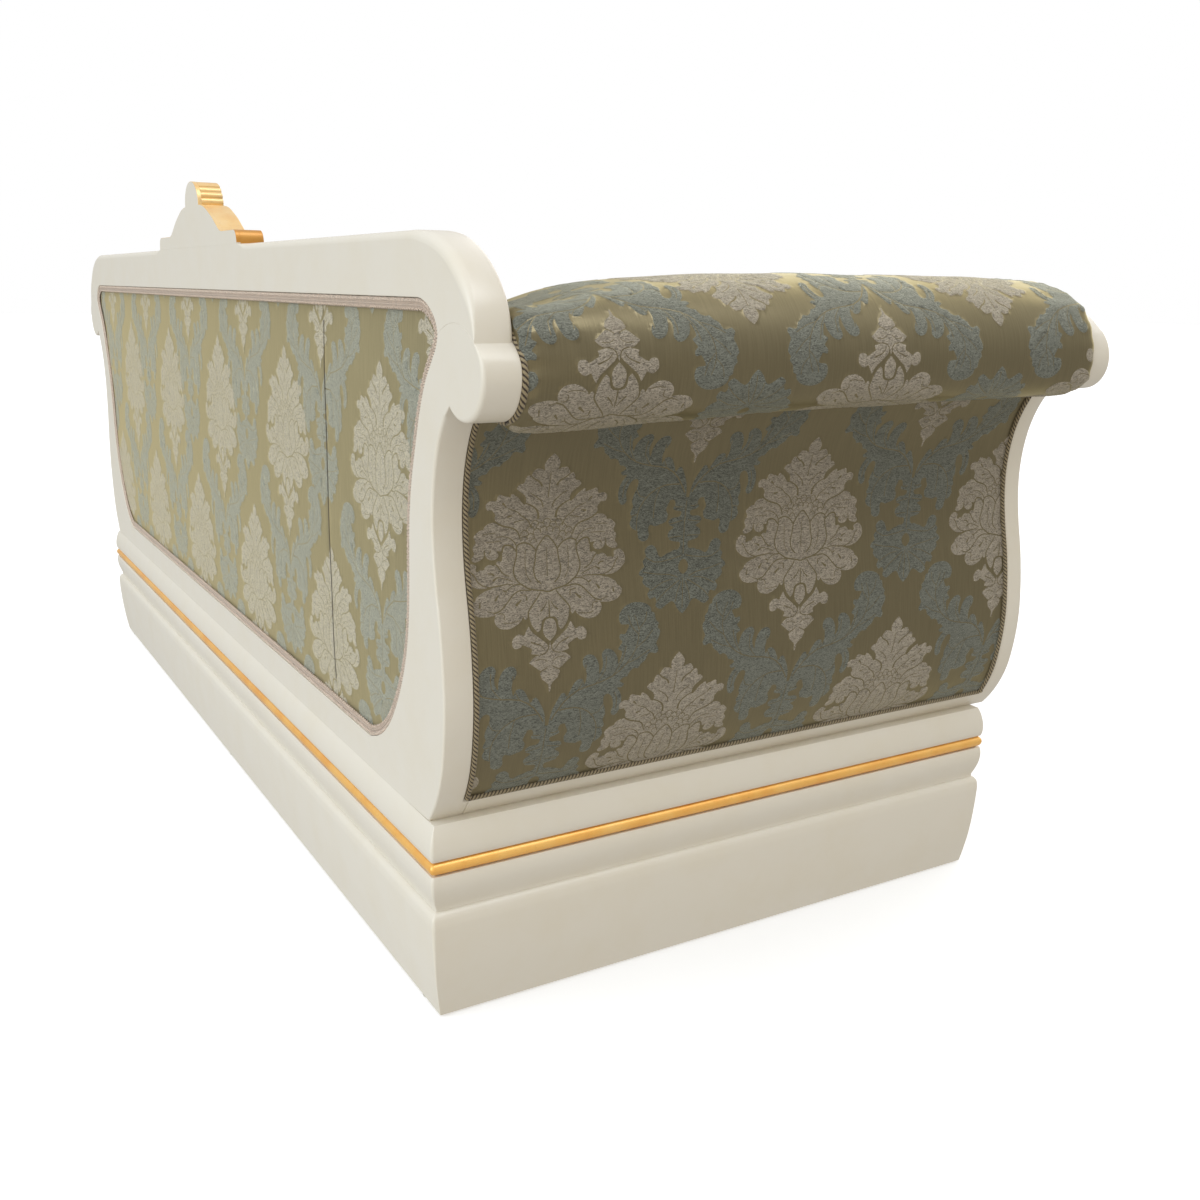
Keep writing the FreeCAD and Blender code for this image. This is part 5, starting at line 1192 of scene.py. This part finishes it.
units = columns([(297 - 13, 123.4 + ROLL_SKIP - 0.0), (-63, 123.4 + ROLL_SKIP), (297 - 360 * 2, 123.4 + ROLL_SKIP)], -100, 600)
units += columns([(117, 123.4 + ROLL_SKIP - 240), (-240, 123.4 + ROLL_SKIP - 236), (477, 123.4 + ROLL_SKIP - 240)], -100, 600)
V, T, kd, B = fabric(rect(-393.4, 385.3, 0.0, roll_run.total, 5.0), units, roll_surf, 6.0, 2, out=-1.0)
m = Mesh().add(V, T, kd, spread(B), B * MM)
for a_, u_ in ((-393.4, 0.02), (385.3, 0.32)):
    b_ = np.linspace(0.0, roll_run.total, 140)
    B, T = fill(roll_surf(np.full(140, a_), b_)[:, [0, 2]])
    m.add(np.stack([B[:, 0], np.full(len(B), a_), B[:, 1]], 1), T if a_ < 0 else T[:, ::-1], 0, spread(B, u_, 0.76, 0.22), B * MM, flat=True)
place_pair(m, "arm_roll_left", "arm_roll_right", DAMASK, None, "damask", pad=0.85)


# ------------------------------------------------------------------ inside arms, inside back, front border
def rounded_back(e, r):
    """How far a padded face falls back at distance e from its edge."""
    k = 1 - np.clip(e / r, 0, 1)
    return r * (1 - np.sqrt(np.maximum(1 - k ** 2, 0)))


def arm_pad(a, b):
    z = 758.0 + b
    e = np.minimum(np.minimum(a + 394.0, 385.5 - a), np.minimum(757.2 - z + 14, z - 300.2))
    x = 836.2 + rounded_back(e, 10.0) + 1.6 * (1 - np.clip(e / 120.0, 0, 1)) ** 2 + 0.4 * ripple(a, b, 31, 240)
    return np.stack([x, a, z], -1)


units = columns([(284, 157.4), (-63, 157.4), (-423, 157.4)], -480, 10) + columns([(117, 157.4 - 240), (-240, 157.4 - 236), (477, 157.4 - 240)], -480, 10)
V, T, kd, B = fabric(rect(-393.9, 385.4, -457.6, -0.9), units, arm_pad, 11.0, 1, out=-1.0)
place_pair(Mesh().add(V, T, kd, spread(B), B * MM), "inside_arm_pad_left", "inside_arm_pad_right", DAMASK, None, "damask", pad=0.8)

lip = Run(resample(np.array([(311.0, 305.0), (309.9, 330.0), (309.9, 800.0)] + [(319.9 - 10 * math.cos(t), 804.5 + 10 * math.sin(t)) for t in np.linspace(0, math.pi / 2, 9)]
                            + [(340.0, 815.0), (372.0, 814.6), (385.4, 812.6)]), 2.0))


def back_pad(a, b):
    q = lip.at(b)
    e = 832.6 - np.abs(a)
    back = rounded_back(e, 8.0) * (b < 505) + 0.3 * ripple(a, b, 41, 300)
    return np.stack([a, q[..., 0] + np.maximum(back, 0), q[..., 1]], -1)


SEAT_X = (-556.0, 0.0, 556.0)
cols = [(-708 + 177 * i, (-40.0 if i % 2 else 200.0)) for i in range(-1, 10)]
V, T, kd, B = fabric(rect(-832.4, 832.4, 0.0, lip.total - 0.2), columns(cols, 0, 620), back_pad, 12.0, 1)
m = Mesh().add(V, T, kd, spread(B), B * MM)
for s_, u_ in ((-1, 0.02), (1, 0.32)):
    q = back_pad(np.full(160, 832.4 * s_), np.linspace(0, lip.total - 0.2, 160))[:, 1:]
    B, T = fill(np.vstack([q, [(385.0, 560.0), (385.0, 306.0)]]))
    m.add(np.stack([np.full(len(B), 832.4 * s_), B[:, 0], B[:, 1]], 1), T if s_ > 0 else T[:, ::-1], 0, spread(B, u_, 0.46, 0.26), B * MM, flat=True)
for s_, u_ in ((-1, 0.62), (1, 0.80)):
    B, T = fill(np.array([(826, 690), (986, 690), (986, 776), (975, 793), (958, 804), (930, 809), (826, 809)], float))
    m.add(np.stack([B[:, 0] * s_, np.full(len(B), 385.6), B[:, 1]], 1), T if s_ > 0 else T[:, ::-1], 0, spread(B, u_, 0.46, 0.16), B * MM, flat=True)
ob = m.build("inside_back_pad_shown", DAMASK, None, "frame", ("inside_back_pad",), "damask", bake=True)

edge = Run(resample(np.array([(-412.0, 241.4), (-421.0, 242.2)] + [(-418.5 - 10 * math.sin(t), 252.4 - 10 * math.cos(t)) for t in np.linspace(0.5, math.pi / 2, 6)]
                             + [(-428.5, 276.0)] + [(-418.5 - 10 * math.cos(t), 298.0 + 10 * math.sin(t)) for t in np.linspace(0, math.pi / 2, 8)] + [(-408.0, 308.4), (-395.0, 307.6)]), 1.5))


def border(a, b):
    q, nn = edge.at(b), edge.normal(b)
    q = q + nn * (1.2 * ease(np.abs(a), 780, 836) + 0.5 * ripple(a, b, 51, 160) - 0.2)[..., None]
    return np.stack([a, q[..., 0], q[..., 1]], -1)


cols = [(-708 + 177 * i, (-250.0 if i % 2 else -10.0)) for i in range(-1, 10)]
V, T, kd, B = fabric(rect(-835.4, 835.4, 0.0, edge.total, 4.0), columns(cols, 0, 130), border, 7.0, 1)
ob = Mesh().add(V, T, kd, spread(B), B * MM).build("front_border_shown", DAMASK, None, "frame", ("front_border",), "damask", bake=True)


# ------------------------------------------------------------------ seat deck and dust cover
def slab(x0, x1, y0, y1, top, low, step, mats, seed, sag=1.0, r=5.0):
    xs, ys_ = np.linspace(x0, x1, int((x1 - x0) / step) + 1), np.linspace(y0, y1, int((y1 - y0) / step) + 1)
    X, Y = np.meshgrid(xs, ys_)
    e = np.minimum(np.minimum(X - x0, x1 - X), np.minimum(Y - y0, y1 - Y))
    Z = top - rounded_back(e + 0.6, r) - sag * (0.5 + 0.5 * ripple(X, Y, seed, 210)) * np.clip(e / 60, 0, 1)
    V = np.stack([X.ravel(), Y.ravel(), Z.ravel()], 1)
    m = Mesh().add(V, band(len(ys_), len(xs)))
    U = V.copy()
    U[:, 2] = low
    m.add(U, band(len(ys_), len(xs))[:, ::-1])
    n, k = len(xs), len(ys_)
    loop = np.r_[np.arange(n), np.arange(1, k) * n + n - 1, (k - 1) * n + np.arange(n - 2, -1, -1), np.arange(k - 2, 0, -1) * n]
    m.add(np.vstack([U[loop], V[loop]]), band(2, len(loop), wrap_c=True))
    return m


ob = slab(-834, 834, -372.5, 358.2, 311.0, 302.4, 12.0, [LINING], 61).build("seat_deck_shown", [LINING], 50, "frame", ("seat_deck",), "felt")
lo_, hi_ = (np.array(p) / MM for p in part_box("dust_cover"))
xs, ys_ = np.linspace(lo_[0], hi_[0], 93), np.linspace(lo_[1], hi_[1], 40)
X, Y = np.meshgrid(xs, ys_)
u, v = (X - lo_[0]) / (hi_[0] - lo_[0]), (Y - lo_[1]) / (hi_[1] - lo_[1])
Z = lo_[2] + 1.2 - 3.5 * (16 * u * (1 - u) * v * (1 - v)) + 0.25 * ripple(X, Y, 71, 180)
ob = Mesh().add(np.stack([X.ravel(), Y.ravel(), Z.ravel()], 1), band(40, 93)).build("dust_cover_shown", [BLACK], None, "frame", ("dust_cover",), "black_cloth")


# ------------------------------------------------------------------ loose cushions, filled by a cloth simulation
class Sheet:
    """A smooth surface through a grid of points, rows x columns."""

    def __init__(self, A, wrap=False):
        self.A, self.wrap = A, wrap

    def at(self, u, v):
        n, m = self.A.shape[:2]
        i = np.clip(np.floor(u).astype(int), 0, m - 1 if self.wrap else m - 2)
        k = np.clip(np.floor(v).astype(int), 0, n - 2)
        s_, t_ = u - i, v - k

        def wts(t):
            return (-t + 2 * t ** 2 - t ** 3) / 2, (2 - 5 * t ** 2 + 3 * t ** 3) / 2, (t + 4 * t ** 2 - 3 * t ** 3) / 2, (t ** 3 - t ** 2) / 2
        wa, wb = wts(s_), wts(t_)
        out = 0
        for a in range(4):
            ia = (i + a - 1) % m if self.wrap else np.clip(i + a - 1, 0, m - 1)
            for b in range(4):
                ib = np.clip(k + b - 1, 0, n - 1)
                out = out + (wa[a] * wb[b])[..., None] * self.A[ib, ia]
        return out


def filled(name, W, D, H, nx, ny, nz, cap, press):
    """A boxed cover W x D x H (standing on z = 0) blown up by a cloth simulation; returns grids of the top, the band and the bottom."""
    X, Y = np.meshgrid(np.linspace(-W / 2, W / 2, nx + 1), np.linspace(-D / 2, D / 2, ny + 1))
    idx = np.arange((nx + 1) * (ny + 1)).reshape(ny + 1, nx + 1)
    loop = np.r_[idx[0, :], idx[1:, nx], idx[ny, nx - 1::-1], idx[ny - 1:0:-1, 0]]
    base = np.stack([X.ravel(), Y.ravel(), np.zeros(X.size)], 1)
    n = len(base)
    V = [base + (0, 0, H), base]
    rows = [loop]
    for k in range(1, nz):
        V.append(base[loop] + (0, 0, H * (1 - k / nz)))
        rows.append(2 * n + (k - 1) * len(loop) + np.arange(len(loop)))
    rows.append(n + loop)
    V = np.vstack(V)
    q = band(ny + 1, nx + 1)
    strip = band(nz + 1, len(loop), wrap_c=True)
    F = np.vstack([q, q[:, ::-1] + n, np.concatenate(rows)[strip][:, ::-1]])
    me = bpy.data.meshes.new(name + "_sim")
    me.from_pydata((V * MM).tolist(), [], F.tolist())
    ob = bpy.data.objects.new(name + "_sim", me)
    scene.collection.objects.link(ob)
    cl = ob.modifiers.new("fill", "CLOTH")
    st = cl.settings
    st.quality, st.mass, st.air_damping = 6, 0.3, 2.0
    st.tension_stiffness = st.compression_stiffness = 18
    st.shear_stiffness, st.bending_stiffness = 6, 0.6
    st.use_pressure, st.uniform_pressure_force = True, press
    st.effector_weights.gravity = 0.0
    cl.point_cache.frame_start, cl.point_cache.frame_end = 1, 20
    for f in range(1, 21):
        scene.frame_set(f)
    dg = bpy.context.evaluated_depsgraph_get()
    ev = ob.evaluated_get(dg).to_mesh()
    R = np.empty(len(ev.vertices) * 3, np.float32)
    ev.vertices.foreach_get("co", R)
    R = R.reshape(-1, 3) / MM
    bpy.data.objects.remove(ob)
    bpy.data.meshes.remove(me)
    scene.frame_set(1)
    R = R - (R.mean(0) - V.mean(0)) * (1, 1, 0)
    d = R - V
    ln_ = np.linalg.norm(d, axis=1)
    print("%s: moved up to %.1f mm" % (name, ln_.max()))
    d *= (np.minimum(ln_, cap) / np.maximum(ln_, 1e-6))[:, None]
    R = V + d
    R[:, 2] = np.maximum(R[:, 2], 0.0)
    return R[idx], np.stack([R[r] for r in rows]), R[n + idx]


def cushion(name, body, W, D, H, grids, cloths, turn3, off, seed, wide, deep):
    """Cover with a patterned face and boxing, and a piped seam on each edge.  turn3 maps the filled shape into place."""
    top, side, low = grids
    ny, nx = top.shape[0] - 1, top.shape[1] - 1
    per = side.shape[1]
    T_, S_ = Sheet(top), Sheet(side, True)

    def place(p, shrink=0.0):
        p = p.copy()
        p[..., 2] = p[..., 2] + 1.8 * ripple(p[..., 0], p[..., 1], seed, 190) * np.clip(p[..., 2] / H, 0, 1)
        if shrink:
            mid_ = np.array([0, 0, H * 0.5])
            p = mid_ + (p - mid_) * (1 - np.array([shrink / W, shrink / D, shrink / H]) * 2)
        p[..., 0] = np.clip(p[..., 0], -wide, wide)
        p[..., 1] = np.clip(p[..., 1], -deep, deep)
        return turn3(p) + np.array(off)

    def face(a, b):
        return place(T_.at((a / W + 0.5) * nx, (b / D + 0.5) * ny))

    full = 2 * (W + D)

    def boxing(a, b):
        p = a + W / 2
        c = np.where(p <= W, p / W * nx, np.where(p <= W + D, nx + (p - W) / D * ny,
                     np.where(p <= 2 * W + D, nx + ny + (p - W - D) / W * nx, 2 * nx + ny + (p - 2 * W - D) / D * ny)))
        return place(S_.at(np.mod(c, per), (-D / 2 - b) / H * (side.shape[0] - 1)))

    m = Mesh()
    V, T, kd, B = drape(cloths[0], face)
    m.add(V, T, kd, spread(B, 0.0, 0.36, 0.64, max(W, D)), B * MM)
    V, T, kd, B = drape(cloths[1], boxing)
    m.add(V, T, kd, spread(B, 0.0, 0.0, 1.0, full), B * MM)
    q = band(ny + 1, nx + 1)[:, ::-1]
    fl = low.reshape(-1, 3)[:, :2]
    m.add(place(low.reshape(-1, 3)), q, 0, spread(fl, 0.65, 0.36, 0.34, max(W, D)), fl * MM)
    k = int(full / 6)
    for row in (0, side.shape[0] - 1):
        ring_ = place(S_.at(np.linspace(0, per, k, endpoint=False) % per, np.full(k, float(row))))
        ring_ = (np.roll(ring_, 1, 0) + 2 * ring_ + np.roll(ring_, -1, 0)) / 4
        tube(m, ring_, 4.2, (0.12, 0.2, 1.0), 3, 8, loop=True)
    ob = m.build(name + "_shown", DAMASK + [WELT], None, body, (name,), "damask", bake=True)
    if name.startswith("seat"):
        c = Mesh().add(place(top.reshape(-1, 3), 7.0), band(ny + 1, nx + 1)).add(place(low.reshape(-1, 3), 7.0), q)
        c.add(place(side.reshape(-1, 3), 7.0), band(side.shape[0], per, wrap_c=True)[:, ::-1])
        ob = c.build(name.replace("cushion", "core") + "_shown", [FOAM], 40, body, (name.replace("cushion", "core"),), "foam")


def cloths(W, D, H, shift):
    cols = [(177.0 * i, shift if i % 2 == 0 else shift + 240.0) for i in range(-2, int(2 * (W + D) / 177) + 2)]
    return (cut_cloth(rect(-W / 2, W / 2, -D / 2, D / 2), columns(cols[:5], -D / 2, D / 2), 10.0, 1),
            cut_cloth(rect(-W / 2, 2 * D + 1.5 * W - 0.01, -D / 2 - H, -D / 2), columns(cols, -D / 2 - H, -D / 2), 10.0, 1))


SEAT_S, REST_S = (542.0, 562.0, 122.0), (542.0, 466.0, 112.0)
seat_grids = filled("seat_fill", *SEAT_S, 22, 23, 6, 34.0, 0.48)
rest_grids = filled("rest_fill", *REST_S, 22, 19, 6, 34.0, 0.62)
seat_cloths, rest_cloths = cloths(*SEAT_S, -290.0), cloths(*REST_S, -265.0)
for i, part in enumerate(("left", "centre", "right")):
    lo_, hi_ = (np.array(p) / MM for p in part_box("seat_cushion_" + part))
    cx, cy = (lo_[0] + hi_[0]) / 2, (lo_[1] + hi_[1]) / 2
    cushion("seat_cushion_" + part, "seat_" + part, *SEAT_S, seat_grids, seat_cloths, lambda p: p, (cx, cy, 312.6), 80 + i, 274.0, 288.0)
    lo_, hi_ = (np.array(p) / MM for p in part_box("back_cushion_" + part))
    cx, cz = (lo_[0] + hi_[0]) / 2, (lo_[2] + hi_[2]) / 2
    cushion("back_cushion_" + part, "rest_" + part, *REST_S, rest_grids, rest_cloths,
            lambda p: np.stack([p[..., 0], -p[..., 2], p[..., 1]], -1), (cx, 305.6, cz - 1.0), 90 + i, 274.0, 242.0)


# ------------------------------------------------------------------ parts that stay as they are, under the covers
NODE_MATERIAL = {
    "glides": FELT, "corner_blocks": BEECH, "seat_rail_back": BEECH, "seat_rail_front": BEECH, "seat_side_rails": BEECH, "cross_stretchers": BEECH,
    "frame_screws": STEEL, "zigzag_springs": STEEL, "spring_clips": STEEL, "back_uprights": BEECH, "back_webbing": JUTE, "crest_dowels": BEECH,
    "arm_top_rails": BEECH,
}
for name, mat in NODE_MATERIAL.items():
    ob = bpy.data.objects.get(name)
    if ob is None:
        ob = [x for x in bpy.data.objects if x.name.split(".")[0] == name][0]
    if not ob.material_slots:
        ob.data.materials.append(mat)
    for sl in ob.material_slots:
        sl.material = mat

# ------------------------------------------------------------------ stage, light and camera
bpy.ops.mesh.primitive_plane_add(size=60, location=(0, 0, 0))
floor = bpy.context.object
floor.name = "studio_floor"
fm, nt, b = material("floor_white")
co = nd(nt, "TexCoord").outputs["Object"]
nt.links.new(mixc(nt, noise(nt, co, 0.8, 3.0), (0.80, 0.80, 0.80), (0.84, 0.84, 0.84)), b.inputs["Base Color"])
put_in(b, Roughness=0.9, Specular_IOR_Level=0.1, Emission_Color=(1, 1, 1, 1), Emission_Strength=0.34)
floor.data.materials.append(fm)
floor.visible_diffuse = floor.visible_glossy = False

world = bpy.data.worlds.new("studio")
scene.world = world
world.use_nodes = True
wn_ = world.node_tree
bg = wn_.nodes["Background"]
rise = wn_.nodes.new("ShaderNodeSeparateXYZ")
wn_.links.new(wn_.nodes.new("ShaderNodeTexCoord").outputs["Generated"], rise.inputs[0])
grade = wn_.nodes.new("ShaderNodeMapRange")
grade.inputs["From Min"].default_value, grade.inputs["From Max"].default_value = -1.0, 1.0
wn_.links.new(rise.outputs[2], grade.inputs[0])
bands = wn_.nodes.new("ShaderNodeValToRGB")
wn_.links.new(grade.outputs[0], bands.inputs[0])
for e, (at, v) in zip([bands.color_ramp.elements[0], bands.color_ramp.elements[1], bands.color_ramp.elements.new(0.48)], ((0.20, 0.60), (0.85, 0.59), (0.48, 0.44))):
    e.position, e.color = at, (v, v * 0.97, v * 0.925, 1)
wn_.links.new(bands.outputs[0], bg.inputs[0])
bg.inputs[1].default_value = 1.0
bg2 = wn_.nodes.new("ShaderNodeBackground")
bg2.inputs[0].default_value = (1, 1, 1, 1)
bg2.inputs[1].default_value = 1.0
mixer = wn_.nodes.new("ShaderNodeMixShader")
lp = wn_.nodes.new("ShaderNodeLightPath")
wn_.links.new(lp.outputs["Is Camera Ray"], mixer.inputs[0])
wn_.links.new(bg.outputs[0], mixer.inputs[1])
wn_.links.new(bg2.outputs[0], mixer.inputs[2])
wn_.links.new(mixer.outputs[0], wn_.nodes["World Output"].inputs[0])


def sun(name, direction, strength, angle, colour=(1, 1, 1)):
    d = bpy.data.lights.new(name, "SUN")
    d.energy, d.angle, d.color = strength, math.radians(angle), colour
    ob = bpy.data.objects.new(name, d)
    ob.rotation_euler = Vector(direction).to_track_quat("-Z", "Y").to_euler()
    scene.collection.objects.link(ob)
    return ob


sun("key", (0.06, -1.0, -0.40), 1.43, 50, (0.83, 0.945, 1.05))
sun("top", (0.20, -0.15, -1.0), 0.22, 55, (0.92, 0.97, 1.10))
sun("fill", (0.9, -0.22, 0.10), 0.43, 80, (1.0, 0.90, 0.66))
sun("front", (-0.45, 0.85, -0.34), 1.10, 60, (1.0, 0.98, 0.95))
sun("satin", (0.39, 0.25, -0.90), 0.85, 30, (0.95, 0.98, 1.0)).visible_diffuse = False

yaw, pitch, rll, focal = -0.533989313778263, 0.2476941893698557, 0.013874105859276623, 1240.3755230424827
fwd = Vector((math.cos(yaw) * math.cos(pitch), math.sin(yaw) * math.cos(pitch), -math.sin(pitch)))
right = fwd.cross(Vector((0, 0, 1))).normalized()
up = right.cross(fwd)
r2 = math.cos(rll) * right + math.sin(rll) * up
u2 = -math.sin(rll) * right + math.cos(rll) * up
cam = bpy.data.cameras.new("view")
cam.sensor_fit, cam.sensor_width, cam.sensor_height = "HORIZONTAL", 36.0, 36.0
cam.lens = 36.0 * focal / 1200.0
cam.clip_start, cam.clip_end = 0.05, 200
co_cam = bpy.data.objects.new("view", cam)
co_cam.matrix_world = Matrix(((r2.x, u2.x, -fwd.x, -2.11016), (r2.y, u2.y, -fwd.y, 0.91052), (r2.z, u2.z, -fwd.z, 0.81402), (0, 0, 0, 1)))
scene.collection.objects.link(co_cam)
scene.camera = co_cam
scene.view_settings.view_transform = "Standard"
scene.view_settings.look = "None"
scene.view_settings.exposure = 0.0
